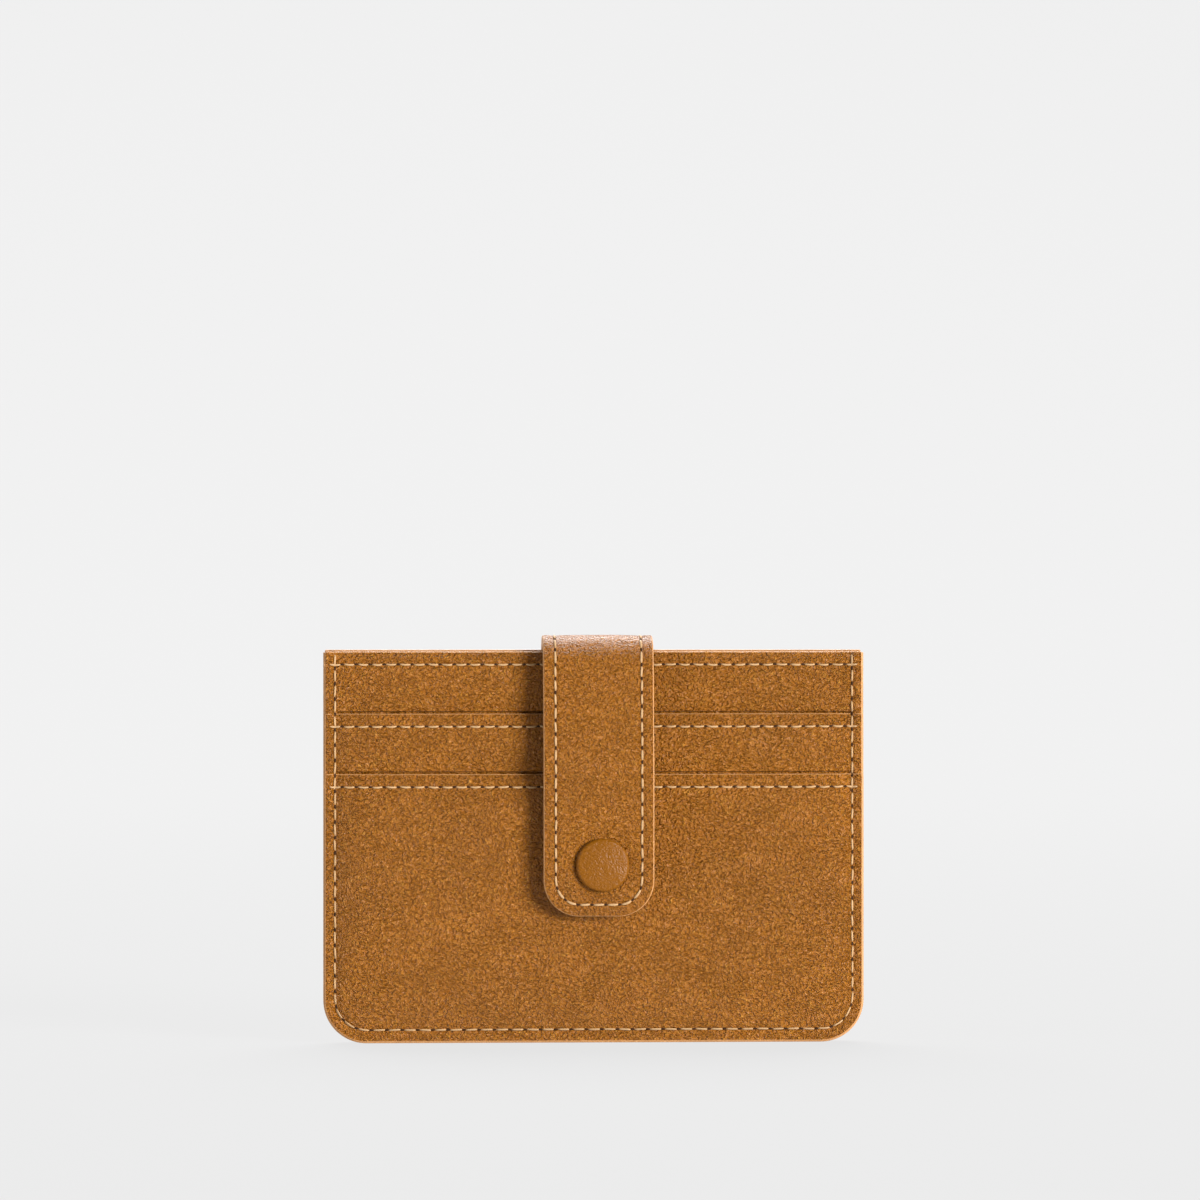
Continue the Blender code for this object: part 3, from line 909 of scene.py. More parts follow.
@dataclass
class LiningSheet:
    """One thin cloth lining of the centre compartment, with a turned hem at its mouth."""

    name: str
    node: str
    front: float
    back: float
    cell: float = 1.6 * MM

    def build(self) -> bpy.types.Object:
        """Model the lining.

        Returns:
            The finished piece.
        """
        low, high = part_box(self.node)
        half = high.x + 0.1 * MM
        bottom = low.z - 0.1 * MM
        height = high.z - bottom
        piece = Bench.grid(self.name, 2 * half, height, self.cell)
        solid = piece.modifiers.new("Thickness", "SOLIDIFY")
        solid.thickness = self.back - self.front
        solid.offset = -1.0
        round_edge = piece.modifiers.new("Hem", "BEVEL")
        round_edge.width = 0.08 * MM
        round_edge.segments = 2
        for modifier in list(piece.modifiers):
            Bench.hold(piece)
            bpy.ops.object.modifier_apply(modifier=modifier.name)
        points = Bench.points(piece)
        points[:, 2] += bottom + height / 2
        points = to_outline(points, half, bottom, high.z, SIZES.corner - 2.6 * MM, 0.0)
        wave = grain(points * np.array([1.0, 0.0, 1.0]), 14 * MM, self.front * 1000.0)
        points[:, 1] += self.front - points[:, 1].min() + 0.05 * MM * wave
        Bench.move(piece, points)
        Bench.finish_mesh(piece)
        Bench.dress(piece, [LINING_CLOTH])
        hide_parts(self.node)
        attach(piece, "holder")
        return piece


# ---------------------------------------------------------------- strap


@dataclass
class Strap:
    """The strap: sewn on the back, bent over the top edge, and hanging down the front."""

    cell: float = 0.36 * MM
    end_radius: float = 6.7 * MM
    seam: float = 2.25 * MM
    back_bend: float = 1.6 * MM
    lean: float = math.radians(6.5)
    lean_length: float = 16.0 * MM
    ease: float = 7.0 * MM
    centre: float = field(init=False)
    width: float = field(init=False)
    thickness: float = field(init=False)
    inner_front: float = field(init=False)
    inner_back: float = field(init=False)
    crown: float = field(init=False)
    tail_end: float = field(init=False)
    flap_end: float = field(init=False)
    snap: tuple[Vector, Vector] = field(init=False)
    snap_x: float = field(init=False)
    snap_z: float = field(init=False)
    snap_along: float = field(init=False)
    rise: float = field(init=False)
    length: float = field(init=False)
    middle: float = field(init=False)
    table: tuple[Array, Array, Array, Array] = field(init=False)

    def __post_init__(self) -> None:
        """Read the strap's sizes from the frame and lay out its path."""
        low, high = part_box("strap_flap_lining")
        outer_low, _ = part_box("strap_flap_leather")
        self.centre = (low.x + high.x) / 2
        self.width = high.x - low.x
        self.inner_front = high.y
        self.thickness = high.y - outer_low.y
        self.inner_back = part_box("strap_tail_lining")[0].y
        self.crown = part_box("strap_bridge_leather")[1].z - self.thickness
        self.tail_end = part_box("strap_tail_leather")[0].z
        self.flap_end = low.z
        self.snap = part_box("snap_cap_cover")
        self.snap_x = (self.snap[0].x + self.snap[1].x) / 2
        self.snap_z = (self.snap[0].z + self.snap[1].z) / 2
        self._lay_path()

    def _lay_path(self) -> None:
        """Lay the strap's middle line: up the back, over the top, leaning out and then down the front."""
        half = self.thickness / 2
        self.rise = self.crown - self.back_bend - self.tail_end
        back_turn = math.pi / 2 * (self.back_bend + half)
        flat = 0.8 * MM
        start_front = self.inner_back - self.back_bend - flat
        gained = (self.lean_length + self.ease / 2) * math.sin(self.lean)
        front_bend = (start_front - self.inner_front - gained) / math.cos(self.lean)
        front_angle = math.pi / 2 - self.lean
        front_turn = front_angle * (front_bend + half)
        tip = 7.5 * MM
        corners = np.cumsum([self.rise, back_turn, flat, front_turn, self.lean_length, self.ease])
        turns = [0.0, math.pi / 2, math.pi / 2, math.pi / 2 + front_angle, math.pi / 2 + front_angle, math.pi]
        step = 0.02 * MM
        along = np.arange(0.0, 90 * MM, step)
        heading = np.interp(along, np.concatenate([[0.0], corners]), [0.0, *turns])
        z = self.tail_end + np.concatenate([[0.0], np.cumsum(np.cos(heading))[:-1]]) * step
        past = np.maximum(self.flap_end + tip - z, 0.0) * (along > corners[3])
        heading = heading + math.radians(13.0) * smooth(past, 0.0, tip)
        z = self.tail_end + np.concatenate([[0.0], np.cumsum(np.cos(heading))[:-1]]) * step
        y = self.inner_back + half - np.concatenate([[0.0], np.cumsum(np.sin(heading))[:-1]]) * step
        self.table = (along, y, z, heading)
        self.middle = float(corners[1] + flat / 2)
        down = along > corners[3]
        self.length = float(np.interp(-self.flap_end, -z[down], along[down]))
        self.snap_along = float(np.interp(-self.snap_z, -z[down], along[down]))

    def place(self, across: Array, along: Array, lift: Array) -> Array:
        """Return points of the strap from its flat sizes.

        Args:
            across: position across the strap, from its middle line.
            along: position along the strap, from the end on the back.
            lift: height over the outer face; minus the thickness is the inner face.

        Returns:
            N x 3 points.
        """
        steps, y, z, heading = self.table
        turn = np.interp(along, steps, heading)
        out = self.thickness / 2 + lift
        return np.stack(
            [
                self.centre + across,
                np.interp(along, steps, y) + np.cos(turn) * out,
                np.interp(along, steps, z) + np.sin(turn) * out,
            ],
            axis=1,
        )

    def relief(self, across: Array, along: Array) -> Array:
        """Return the outer face's own relief.

        Args:
            across: position across the strap.
            along: position along the strap.

        Returns:
            Heights over the plain face.
        """
        edge = self._inside(across, along)
        gap = edge - self.seam
        out = -0.16 * MM * np.exp(-((gap / (0.42 * MM)) ** 2))
        pull = 0.5 + 0.5 * np.cos(2.0 * np.pi * along / (2.6 * MM))
        out *= 0.75 + 0.5 * pull
        out += 0.10 * MM * (1.0 - np.exp(-np.maximum(gap, 0.0) / (2.2 * MM)))
        out += 0.04 * MM * np.sin(np.pi * np.clip(edge / self.seam, 0.0, 1.0))
        ripple = np.sin(2.0 * np.pi * along / (2.6 * MM))
        ripple += 0.7 * np.sin(2.0 * np.pi * along / (4.1 * MM) + 2.0)
        fan = np.exp(-np.abs(gap) / (1.4 * MM)) * (1.0 - np.exp(-((gap / (0.5 * MM)) ** 2)))
        out += 0.018 * MM * ripple * fan
        points = np.stack([across, np.zeros_like(across), along], axis=1)
        out += 0.06 * MM * grain(points, 7 * MM, 11.0)
        out += 0.022 * MM * grain(points * np.array([1.0, 1.0, 1.9]), 1.6 * MM, 17.0)
        crown = np.exp(-(((along - self.middle - 2.6 * MM) / (2.4 * MM)) ** 2))
        folds = grain(points * np.array([1.0, 1.0, 1.9]), 1.3 * MM, 23.0)
        out += 0.05 * MM * crown * folds
        near = np.hypot(across + self.centre - self.snap_x, along - self.snap_along)
        rim = (self.snap[1].x - self.snap[0].x) / 2
        out -= 0.16 * MM * np.exp(-(((near - rim) / (0.9 * MM)) ** 2))
        out -= 0.16 * MM * (near < rim)
        bearing = np.arctan2(along - self.snap_along, across + self.centre - self.snap_x)
        rays = np.sin(17.0 * bearing) * np.exp(-np.maximum(near - rim, 0.0) / (1.6 * MM)) * (near > rim)
        return out + 0.02 * MM * rays

    def _inside(self, across: Array, along: Array) -> Array:
        """Return the distance inside the strap's flat outline.

        Args:
            across: position across the strap.
            along: position along the strap.

        Returns:
            Distances in metres.
        """
        half, radius = self.width / 2, self.end_radius
        side = np.abs(across) - (half - radius)
        end = np.maximum(radius - along, along - (self.length - radius))
        corner = np.hypot(np.maximum(side, 0.0), np.maximum(end, 0.0))
        return radius - np.where((side > 0) | (end > 0), corner, np.maximum(side, end))

    def outer(self, across: Array, along: Array, lift: Array) -> Array:
        """Return points lifted off the relief of the outer face."""
        return self.place(across, along, self.relief(across, along) + lift)

    def inner(self, across: Array, along: Array, lift: Array) -> Array:
        """Return points lifted off the inner face, towards the holder."""
        return self.place(across, along, -self.thickness - lift)

    def bend(self, piece: bpy.types.Object, half: Half) -> None:
        """Bake a piece of the strap's place into its mesh."""
        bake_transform(piece)

    def build(self) -> list[bpy.types.Object]:
        """Model the strap flat, cut it in its two halves, and fold each over the holder.

        Returns:
            The rear half and the front half.
        """
        made = []
        halves = (
            (Half.REAR, ("strap_tail_leather", "strap_tail_lining", "strap_bridge_lining")),
            (Half.FRONT, ("strap_flap_leather", "strap_flap_lining", "strap_bridge_leather")),
        )
        for half, nodes in halves:
            piece = Bench.grid(f"strap_{half.value}", self.width, self.length, self.cell)
            Bench.thicken(piece, self.thickness, 0.3 * MM, 4)
            bpy.ops.object.mode_set(mode="EDIT")
            bpy.ops.mesh.select_all(action="SELECT")
            bpy.ops.mesh.bisect(
                plane_co=(0.0, 0.0, self.middle - self.length / 2),
                plane_no=(0.0, 0.0, 1.0),
                use_fill=True,
                clear_inner=half is Half.FRONT,
                clear_outer=half is Half.REAR,
            )
            bpy.ops.object.mode_set(mode="OBJECT")
            facing = Bench.normals(piece)[:, 1]
            slots = np.where(np.abs(facing) < 0.9, 1, np.where(facing > 0.9, 2, 0)).astype(np.int32)
            piece.data.polygons.foreach_set("material_index", slots)
            points = Bench.points(piece)
            points[:, 2] += self.length / 2
            flat_depth = points[:, 1] - points[:, 1].min()
            points = to_outline(points, self.width / 2, 0.0, self.length, self.end_radius, self.end_radius)
            across, along = points[:, 0], points[:, 2]
            outer = 1.0 - np.clip(flat_depth / self.thickness, 0.0, 1.0)
            lift = -flat_depth + outer * self.relief(across, along)
            Bench.move(piece, self.place(across, along, lift))
            Bench.finish_mesh(piece)
            # The rim takes the lighter edge paint: its own colour plus a painted highlight.
            Bench.dress(piece, [STRAP_HIDE, EDGE_PAINT_AND_HIGHLIGHT, STRAP_HIDE])
            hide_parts(*nodes)
            self.bend(piece, half)
            made.append(piece)
        return made


# ---------------------------------------------------------------- stitching


@dataclass
class Seam:
    """A row of stitches on a surface, with dark discs between them that paint the shade inside each needle
    hole.
    """

    name: str
    nodes: tuple[str, ...]
    path: Array
    surface: SurfaceMap
    body: str = "holder"
    pitch: float = 2.75 * MM
    thread: float = 0.18 * MM
    visible: float = 0.74
    seed: int = 1
    closed: bool = False
    bow: float = 0.0

    def _walk(self, distance: Array) -> tuple[Array, Array]:
        """Return points and directions at distances along the path.

        Args:
            distance: distances from the path's start.

        Returns:
            N x 2 points and N x 2 unit directions.
        """
        steps = np.diff(self.path, axis=0)
        lengths = np.hypot(steps[:, 0], steps[:, 1])
        reach = np.concatenate([[0.0], np.cumsum(lengths)])
        index = np.clip(np.searchsorted(reach, distance, side="right") - 1, 0, len(lengths) - 1)
        share = (distance - reach[index]) / lengths[index]
        return self.path[index] + steps[index] * share[:, None], steps[index] / lengths[index][:, None]

    def length(self) -> float:
        """Return the path's length."""
        return float(np.hypot(*np.diff(self.path, axis=0).T).sum())

    @staticmethod
    def _take_pattern() -> Pattern:
        """Read the vertices and faces of the pattern just modelled, and put it away.

        Returns:
            Its vertices and faces.
        """
        piece = bpy.context.object
        points = Bench.points(piece)
        faces = [tuple(face.vertices) for face in piece.data.polygons]
        bpy.data.objects.remove(piece)
        return points, faces

    @staticmethod
    def _pattern_stitch() -> Pattern:
        """Model one stitch of unit length and radius, lying along X.

        Returns:
            Its vertices and faces.
        """
        Bench.clear()
        bpy.ops.mesh.primitive_cylinder_add(
            vertices=6, radius=1.0, depth=1.0, end_fill_type="NGON", rotation=(0.0, math.radians(90), 0.0)
        )
        piece = Bench.named("pattern_stitch")
        for edge in piece.data.edges:
            start, end = (piece.data.vertices[i].co.x for i in edge.vertices)
            edge.select = abs(start - end) > 0.5
        Bench.hold(piece)
        bpy.ops.object.mode_set(mode="EDIT")
        bpy.ops.mesh.select_mode(type="EDGE")
        bpy.ops.mesh.subdivide(number_cuts=5)
        bpy.ops.object.mode_set(mode="OBJECT")
        return Seam._take_pattern()

    @staticmethod
    def _hole_shade_pattern() -> Pattern:
        """Model one dark disc of unit size, painted shade for one needle hole.

        Returns:
            Its vertices and faces.
        """
        Bench.clear()
        bpy.ops.mesh.primitive_cone_add(
            vertices=10, radius1=1.0, radius2=0.75, depth=1.0, end_fill_type="NGON"
        )
        Bench.named("hole_shade_pattern")
        return Seam._take_pattern()

    def build(self) -> list[bpy.types.Object]:
        """Sew the seam.

        Returns:
            The thread and the dark discs of painted shade at each needle hole.
        """
        total = self.length()
        count = max(1, round(total / self.pitch))
        step = total / count
        thread = self._stitches(count, step, total)
        Bench.dress(thread, [THREAD])
        if self.nodes:
            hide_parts(*self.nodes)
        # Dark discs at each needle hole: painted shade of the hole.
        hole_shades = self._holes(count, step, total)
        Bench.dress(hole_shades, [NEEDLE_HOLE_SHADE])
        return [thread, hole_shades]

    def _stitches(self, count: int, step: float, total: float) -> bpy.types.Object:
        """Make the stitches, each a little uneven.

        Args:
            count: number of stitches.
            step: length of one stitch.
            total: length of the seam.

        Returns:
            The piece.
        """
        chance = random.Random(self.seed)
        pattern, faces = self._pattern_stitch()
        copies = []
        for number in range(count):
            tilt = math.radians(chance.uniform(-3.5, 3.5))
            drift = chance.uniform(-0.03, 0.03) * MM
            reach = 0.5 * step * self.visible * chance.uniform(0.95, 1.05)
            share = 2.0 * pattern[:, 0]
            round_end = 1.0 - 0.35 * np.abs(share) ** 4
            along = (number + 0.5) * step + share * reach
            across = pattern[:, 1] * self.thread * round_end + drift + math.tan(tilt) * share * reach
            across += self.bow * (1.0 - share**2)
            lift = pattern[:, 2] * self.thread * round_end * 0.85
            lift += self.thread * (0.75 - 0.95 * np.abs(share) ** 3)
            copies.append(self._lay(along, across, lift, total))
        return self._piece(self.name, copies, faces)

    def _holes(self, count: int, step: float, total: float) -> bpy.types.Object:
        """Make the dark discs of painted shade at each needle hole between the stitches.

        Args:
            count: number of stitches.
            step: length of one stitch.
            total: length of the seam.

        Returns:
            The piece.
        """
        pattern, faces = self._hole_shade_pattern()
        gap = 0.5 * step * (1.0 - self.visible) + 0.07 * MM
        copies = []
        for number in range(0 if self.closed else 1, count):
            along = number * step + pattern[:, 0] * gap
            lift = 0.03 * MM + pattern[:, 2] * 0.1 * MM
            copies.append(self._lay(along, pattern[:, 1] * 0.24 * MM, lift, total))
        return self._piece(self.name + "_holes", copies, faces)

    def _lay(self, along: Array, across: Array, lift: Array, total: float) -> Array:
        """Lay points of a pattern's copy on the surface.

        Args:
            along: distances along the seam.
            across: distances to the seam's left.
            lift: heights over the surface.
            total: length of the seam.

        Returns:
            N x 3 points.
        """
        spot, heading = self._walk(np.clip(along, 0.0, total))
        side = np.stack([-heading[:, 1], heading[:, 0]], axis=1)
        flat = spot + side * across[:, None]
        return self.surface(flat[:, 0], flat[:, 1], lift)

    def _piece(self, name: str, copies: list[Array], faces: list[tuple[int, ...]]) -> bpy.types.Object:
        """Make one piece from the copies of a pattern.

        Args:
            name: the piece's name.
            copies: the vertices of each copy.
            faces: the pattern's faces.

        Returns:
            The piece.
        """
        mesh = bpy.data.meshes.new(name)
        starts = range(0, len(copies) * len(copies[0]), len(copies[0]))
        polygons = [tuple(i + start for i in face) for start in starts for face in faces]
        mesh.from_pydata(np.concatenate(copies).tolist(), [], polygons)
        piece = bpy.data.objects.new(name, mesh)
        bpy.context.scene.collection.objects.link(piece)
        Bench.finish_mesh(piece, 80.0)
        return piece


def polyline(*points: tuple[float, float]) -> Array:
    """Return points as an array."""
    return np.array(points, float)


def rounded_run(half: float, bottom: float, radius: float, top_left: float, top_right: float) -> Array:
    """Return a U-shaped seam path, down the left, round the bottom and up the right.

    Args:
        half: distance of the sides from the middle.
        bottom: height of the lower run.
        radius: radius of its corners.
        top_left: height where it starts.
        top_right: height where it ends.

    Returns:
        N x 2 points.
    """
    left = np.radians(np.linspace(180, 270, 13))
    right = np.radians(np.linspace(270, 360, 13))
    points = [(-half, top_left)]
    points += [(-half + radius + radius * math.cos(a), bottom + radius + radius * math.sin(a)) for a in left]
    points += [(half - radius + radius * math.cos(a), bottom + radius + radius * math.sin(a)) for a in right]
    points.append((half, top_right))
    return np.array(points)


@dataclass
class Holder:
    """The sewn body: leather layers, painted edge, linings and seams."""

    layers: dict[str, LeatherLayer] = field(init=False)

    def __post_init__(self) -> None:
        """Lay out the leather layers from the frame's sizes."""
        self.layers = {
            "back": LeatherLayer(
                "back_leather", "back_panel", Side.BACK, 0.0, SIZES.height + 0.35 * MM, SIZES.back_face,
                SIZES.back_face - 0.5 * MM, 1.0 * MM, 0.85 * MM, 2.3,
                presses_bottom=True, rounds_bottom=True, lip_curl=0.3,
            ),
            "base": LeatherLayer(
                "base_leather", "base_panel", Side.FRONT, 0.0, SIZES.height, SIZES.base_face,
                SIZES.base_face - 0.45 * MM, 0.8 * MM, 0.75 * MM, 7.9,
                presses_bottom=True, rounds_bottom=True, sag=0.25 * MM, covered_to=SIZES.slot_top,
            ),
            "slot": LeatherLayer(
                "middle_slot_leather", "middle_slot_strip", Side.FRONT, SIZES.slot_foot, SIZES.slot_top,
                SIZES.slot_face, SIZES.base_face - 0.72 * MM, 0.8 * MM, 0.26 * MM, 13.4, sag=0.1 * MM,
                covered_to=SIZES.pocket_top,
            ),
            "pocket": LeatherLayer(
                "front_pocket_leather", "front_pocket_panel", Side.FRONT, 0.0, SIZES.pocket_top,
                SIZES.pocket_face, SIZES.base_face - 1.1 * MM, 0.9 * MM, 0.36 * MM, 19.6,
                presses_bottom=True, rounds_bottom=True,
            ),
        }

    def front(self, x: Array, z: Array, lift: Array) -> Array:
        """Return points on the foremost leather at each height.

        Args:
            x: positions across.
            z: heights.
            lift: heights over the leather.

        Returns:
            N x 3 points.
        """
        base = self.layers["base"].place(x, z, lift)
        slot = self.layers["slot"].place(x, z, lift)
        pocket = self.layers["pocket"].place(x, z, lift)
        level = np.where((z < SIZES.slot_top)[:, None], slot, base)
        return np.where((z < SIZES.pocket_top)[:, None], pocket, level)

    def build(self) -> None:
        """Model the layers, the painted edge and the linings."""
        for layer in self.layers.values():
            piece = layer.build()
            LOG.info("%s: %d faces", piece.name, len(piece.data.polygons))
        EdgeBand(self.layers).build()
        front_low, front_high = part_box("front_lining")
        back_low, back_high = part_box("back_lining")
        LiningSheet("front_lining_cloth", "front_lining", front_low.y, front_high.y).build()
        LiningSheet("back_lining_cloth", "back_lining", back_low.y, back_high.y).build()

    def sew(self) -> None:
        """Sew the holder's seams."""
        side = SIZES.half - SIZES.side_seam
        low = SIZES.bottom_seam
        radius = SIZES.corner - SIZES.side_seam
        top = SIZES.height - 0.2 * MM
        around = rounded_run(side, low, radius, top, top)
        reach = SIZES.half - 0.9 * MM
        rows = [
            Seam("perimeter_stitches", ("perimeter_thread",), around, self.front, pitch=2.84 * MM, seed=3),
            Seam(
                "perimeter_back_stitches", ("perimeter_back_thread",), around, self.layers["back"].place,
                pitch=2.84 * MM, seed=5,
            ),
        ]
        edges = (
            ("top_edge", "top_edge_thread", SIZES.height, self.layers["base"], 7),
            ("middle_slot", "middle_slot_thread", SIZES.slot_top, self.layers["slot"], 9),
            ("front_pocket", "front_pocket_thread", SIZES.pocket_top, self.layers["pocket"], 11),
            ("back_edge", "back_edge_thread", SIZES.height, self.layers["back"], 13),
        )
        for name, node, edge, layer, seed in edges:
            height = edge - SIZES.edge_seam
            run = polyline((-reach, height), (reach, height))
            name = f"{name}_stitches"
            rows.append(Seam(name, (node,), run, layer.place, pitch=2.57 * MM, seed=seed, bow=-0.09 * MM))
        for row in rows:
            for piece in row.build():
                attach(piece, row.body)
            LOG.info("%s sewn", row.name)


def sew_strap(strap: Strap) -> None:
    """Sew the strap's seams, laid on its leather.

    Args:
        strap: the strap.
    """
    half = strap.width / 2 - strap.seam
    radius = strap.end_radius - strap.seam
    far = strap.length - strap.seam
    middle = strap.middle
    box_top = strap.rise - 3.8 * MM
    box = rounded_run(half, strap.seam, radius, box_top, box_top)
    box = np.concatenate([box, box[:1]])
    flap = rounded_run(half, 0.0, radius, middle - far, middle - far)
    flap[:, 1] = far - flap[:, 1]
    flap[0, 1] = flap[-1, 1] = middle
    left, right = (polyline((x, strap.rise - 3.4 * MM), (x, middle)) for x in (-half, half))
    rows = (
        ("strap_tail", "strap_tail_thread", box, strap.outer, 21, None),
        ("strap_bridge_left", "strap_bridge_thread_left", left, strap.outer, 23, Half.REAR),
        ("strap_bridge_right", "strap_bridge_thread_right", right, strap.outer, 25, Half.REAR),
        ("strap_flap", "strap_flap_thread", flap, strap.outer, 27, Half.FRONT),
        ("strap_inner", "strap_flap_inner_thread", flap, strap.inner, 29, Half.FRONT),
    )
    for name, node, path, surface, seed, bend in rows:
        row = Seam(
            f"{name}_stitches", (node,), path, surface, pitch=2.6 * MM, thread=0.21 * MM, seed=seed,
            closed=bend is None,
        )
        for piece in row.build():
            if bend:
                strap.bend(piece, bend)
            else:
                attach(piece, row.body)
        LOG.info("%s sewn", row.name)


# ---------------------------------------------------------------- snap


@dataclass
class Snap:
    """The press snap: covered cap and socket on the strap, stud on the pocket."""

    strap: Strap
    segments: int = 72

    def _turn(self, name: str, profile: list[tuple[float, float]]) -> bpy.types.Object:
        """Turn a profile of (radius, depth) about the snap's axis.

        Args:
            name: the piece's name.
            profile: points of the outline, in metres; depth is Y.

        Returns:
            The turned piece.
        """
        Bench.clear()
        bpy.ops.mesh.primitive_plane_add(size=1.0 * MM)
        piece = Bench.named(name)
        Bench.hold(piece)
        bpy.ops.object.mode_set(mode="EDIT")
        bpy.ops.mesh.delete(type="VERT")
        shape = bmesh.from_edit_mesh(piece.data)
        x, z = self.strap.snap_x, self.strap.snap_z
        ring = [shape.verts.new((x + radius, depth, z)) for radius, depth in profile]
        for first, second in zip(ring, ring[1:]):
            shape.edges.new((first, second))
        if profile[0][0] > 0.0:
            shape.edges.new((ring[-1], ring[0]))
        bmesh.update_edit_mesh(piece.data)
        bpy.ops.mesh.select_all(action="SELECT")
        bpy.ops.mesh.spin(
            steps=self.segments, angle=2 * math.pi, center=(x, 0.0, z), axis=(0.0, 1.0, 0.0),
            use_auto_merge=True,
        )
        bpy.ops.mesh.select_all(action="SELECT")
        bpy.ops.mesh.remove_doubles(threshold=0.001 * MM)
        bpy.ops.object.mode_set(mode="OBJECT")
        return piece

    def build(self) -> None:
        """Model the snap's visible pieces."""
        self._cover()
        self._socket()
        self._stud()
        for node, finish in (("snap_cap", BRASS), ("snap_spring", STEEL), ("snap_stud_post", BRASS)):
            self._dress_node(node, finish)
        for node in ("middle_slot_tail", "snap_patch"):
            self._dress_node(node, LINING_CLOTH)

    def _dress_node(self, node: str, finish: Finish) -> None:
        """Give a frame piece its finish.

        Args:
            node: the frame piece's name.
            finish: its finish.
        """
        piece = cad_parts[node]
        piece.data.materials.clear()
        piece.data.materials.append(finish.make())

    def _cover(self) -> None:
        """Model the leather stretched over the cap, tucked in under its rim."""
        low, high = self.strap.snap
        radius = (high.x - low.x) / 2
        front, back = low.y, high.y
        dome = 0.22 * MM
        roll = 0.72 * MM
        inner = radius - roll
        profile = [(share * inner, front + dome * share**2) for share in np.linspace(0.0, 1.0, 10)]
        for angle in np.radians(np.linspace(75, -40, 11)):
            profile.append((inner + roll * math.cos(angle), front + dome + roll - roll * math.sin(angle)))
        profile += [(radius - 0.35 * MM, back + 0.05 * MM), (0.0, back + 0.05 * MM)]
        piece = self._turn("snap_cap_leather", profile)
        points = Bench.points(piece)
        points[:, 1] += 0.012 * MM * grain(points, 1.4 * MM, 31.0)
        Bench.move(piece, points)
        Bench.finish_mesh(piece, 60.0)
        Bench.dress(piece, [CAP_HIDE])
        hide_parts("snap_cap_cover")
        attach(piece, "strap_flap")

    def _socket(self) -> None:
        """Model the socket's rolled ring and its plate."""
        low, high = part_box("snap_socket")
        radius = (high.x - low.x) / 2
        bore = 2.42 * MM
        roll = 0.28 * MM
        profile = [(1.15 * MM, low.y), (radius - 0.25 * MM, low.y)]
        for centre, first, last, count in ((radius - roll, -60, 90, 7), (bore + roll, 90, 180, 5)):
            for angle in np.radians(np.linspace(first, last, count)):
                profile.append((centre + roll * math.cos(angle), high.y - roll + roll * math.sin(angle)))
        profile += [(bore, low.y + 0.27 * MM), (1.15 * MM, low.y + 0.27 * MM)]
        piece = self._turn("snap_socket_ring", profile)
        Bench.finish_mesh(piece, 40.0)
        Bench.dress(piece, [BRASS])
        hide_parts("snap_socket")
        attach(piece, "strap_flap")

    def _stud(self) -> None:
        """Model the stud with its rounded head, waist and flange."""
        low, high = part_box("snap_stud")
        flange = (high.x - low.x) / 2
        head, waist, bore, nose = 1.95 * MM, 1.75 * MM, 1.35 * MM, 0.3 * MM
        profile = [(bore, low.y + 0.1 * MM), (bore + 0.12 * MM, low.y)]
        for angle in np.radians(np.linspace(100, -60, 9)):
            profile.append((head - nose + nose * math.cos(angle), low.y + nose - nose * math.sin(angle)))
        profile += [(waist, high.y - 0.42 * MM), (waist + 0.12 * MM, high.y - 0.3 * MM)]
        profile += [(flange - 0.1 * MM, high.y - 0.3 * MM), (flange, high.y - 0.2 * MM)]
        profile += [(flange, high.y), (bore, high.y)]
        piece = self._turn("snap_stud_body", profile)
        Bench.finish_mesh(piece, 40.0)
        Bench.dress(piece, [BRASS])
        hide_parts("snap_stud")
        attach(piece, "holder")


# ---------------------------------------------------------------- studio


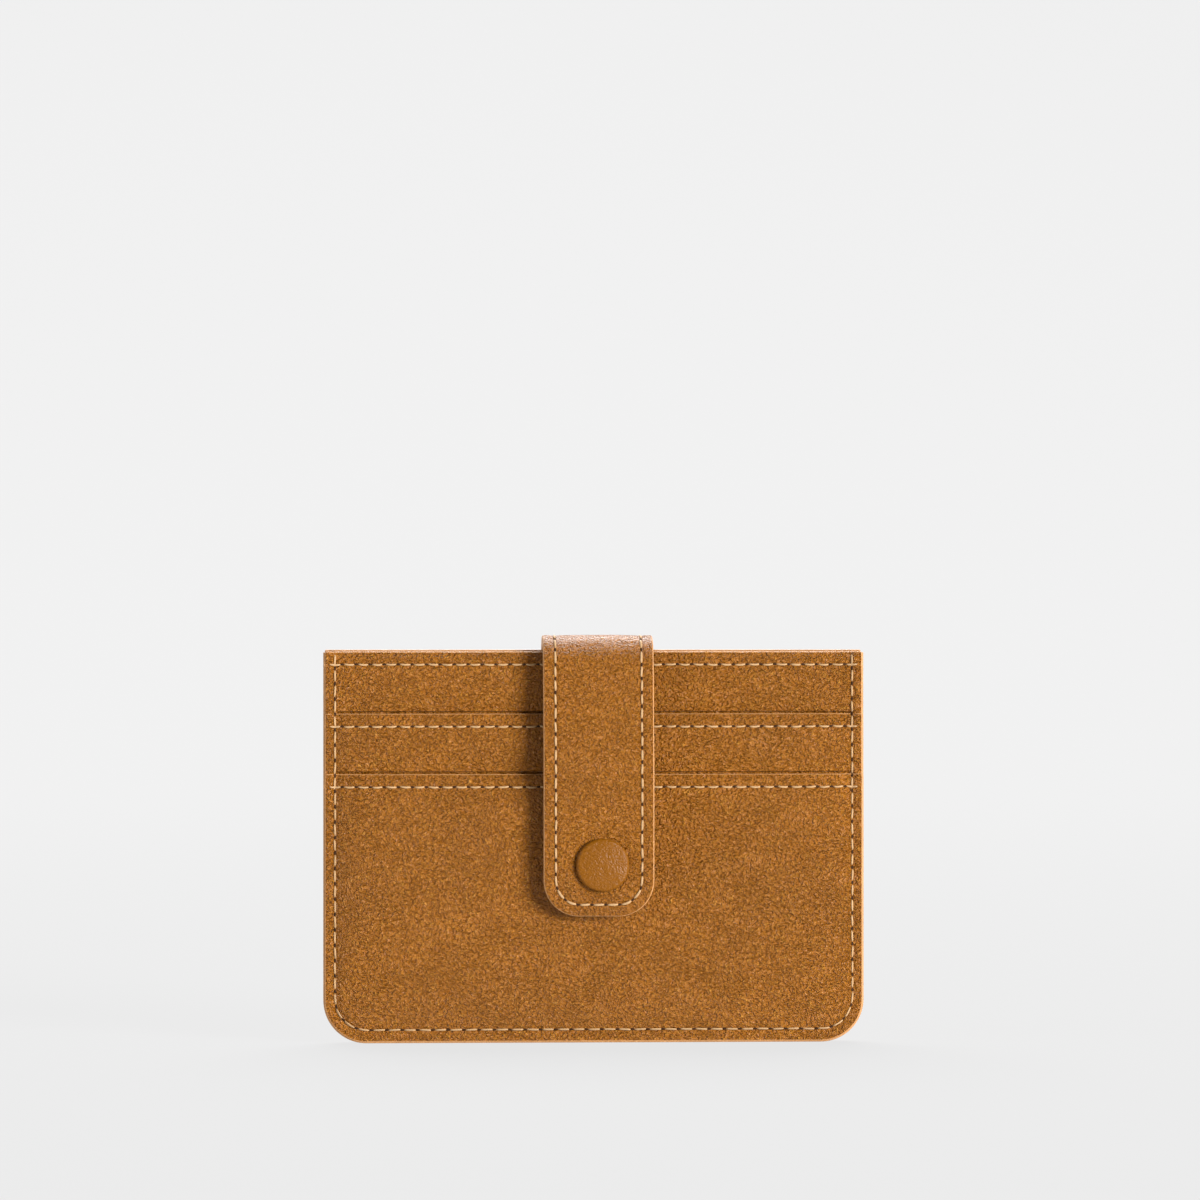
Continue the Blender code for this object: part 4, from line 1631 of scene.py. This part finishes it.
@dataclass
class Studio:
    """Pale seamless floor, soft lights and the camera."""

    distance: float = 1.1
    frame_width: float = 0.2232
    azimuth: float = math.radians(-2.9)
    centre_right: float = 1.17 * MM
    centre_up: float = 45.9 * MM

    def build(self) -> None:
        """Set up the floor, the lights and the camera."""
        self._floor()
        self._lights()
        self._camera()

    def _floor(self) -> None:
        """Model the floor and its sweep up behind the object."""
        Bench.clear()
        bpy.ops.mesh.primitive_plane_add(size=6.0, location=(0.0, 0.0, 0.0))
        floor = Bench.named("studio_floor")
        Bench.hold(floor)
        bpy.ops.object.mode_set(mode="EDIT")
        bpy.ops.mesh.select_mode(type="EDGE")
        bpy.ops.mesh.select_all(action="DESELECT")
        bpy.ops.object.mode_set(mode="OBJECT")
        for edge in floor.data.edges:
            edge.select = all(floor.data.vertices[i].co.y > 2.9 for i in edge.vertices)
        bpy.ops.object.mode_set(mode="EDIT")
        bpy.ops.mesh.extrude_edges_move(TRANSFORM_OT_translate={"value": (0.0, 0.0, 3.0)})
        bpy.ops.object.mode_set(mode="OBJECT")
        for edge in floor.data.edges:
            ends = [floor.data.vertices[i].co for i in edge.vertices]
            edge.select = all(end.y > 2.9 and abs(end.z) < 0.01 for end in ends)
        bpy.ops.object.mode_set(mode="EDIT")
        bpy.ops.mesh.bevel(offset=1.6, segments=24, affect="EDGES")
        bpy.ops.object.mode_set(mode="OBJECT")
        bpy.ops.object.shade_smooth()
        material = bpy.data.materials.new("pale_floor")
        material.use_nodes = True
        shader = material.node_tree.nodes["Principled BSDF"]
        shader.inputs["Base Color"].default_value = (0.04, 0.04, 0.04, 1.0)
        shader.inputs["Roughness"].default_value = 0.9
        shader.inputs["Specular IOR Level"].default_value = 0.0
        shader.inputs["Emission Color"].default_value = (1.0, 1.0, 1.0, 1.0)
        shader.inputs["Emission Strength"].default_value = 0.75
        floor.data.materials.append(material)

    def _lights(self) -> None:
        """Add a soft light behind, a broad low one in front, a dim one at the left, and a dim surround."""
        world = bpy.data.worlds.new("studio")
        world.use_nodes = True
        world.node_tree.nodes["Background"].inputs["Color"].default_value = (1.0, 1.0, 1.0, 1.0)
        world.node_tree.nodes["Background"].inputs["Strength"].default_value = 0.08
        bpy.context.scene.world = world
        lamps = (
            ("back_light", (0.0, 1.6, 2.1), (0.0, 0.0, 0.04), 2.3, 185.0),
            ("front_light", (1.95, -1.9, 0.4), (0.0, 0.0, 0.04), 1.25, 198.0),
            ("left_light", (-2.3, -0.9, 0.5), (0.0, 0.0, 0.04), 1.3, 26.0),
        )
        for name, place, aim, size, power in lamps:
            data = bpy.data.lights.new(name, "AREA")
            data.size = size
            data.energy = power
            lamp = bpy.data.objects.new(name, data)
            lamp.location = place
            lamp.rotation_euler = (Vector(aim) - Vector(place)).to_track_quat("-Z", "Y").to_euler()
            bpy.context.scene.collection.objects.link(lamp)

    def _camera(self) -> None:
        """Place a level camera a little to the left, with its axis above the object."""
        data = bpy.data.cameras.new("camera")
        data.sensor_width = 36.0
        data.lens = 36.0 * self.distance / self.frame_width
        right = Vector((math.cos(self.azimuth), math.sin(self.azimuth), 0.0))
        away = Vector((math.sin(self.azimuth), -math.cos(self.azimuth), 0.0))
        middle = Vector((0.0, SIZES.base_face + 0.8 * MM, SIZES.height / 2))
        aim = middle + right * self.centre_right + Vector((0.0, 0.0, self.centre_up))
        camera = bpy.data.objects.new("camera", data)
        camera.location = aim + away * self.distance
        camera.rotation_euler = (-away).to_track_quat("-Z", "Y").to_euler()
        bpy.context.scene.collection.objects.link(camera)
        bpy.context.scene.camera = camera
        bpy.context.scene.view_settings.view_transform = "Standard"


def main() -> None:
    """Build the card holder and its studio."""
    logging.basicConfig(level=logging.INFO, format="%(name)s: %(message)s")
    studio = Studio()
    studio.build()
    holder = Holder()
    holder.build()
    holder.sew()
    strap = Strap()
    for piece in strap.build():
        LOG.info("%s: %d faces", piece.name, len(piece.data.polygons))
    sew_strap(strap)
    Snap(strap).build()


if __name__ == "__main__":
    main()
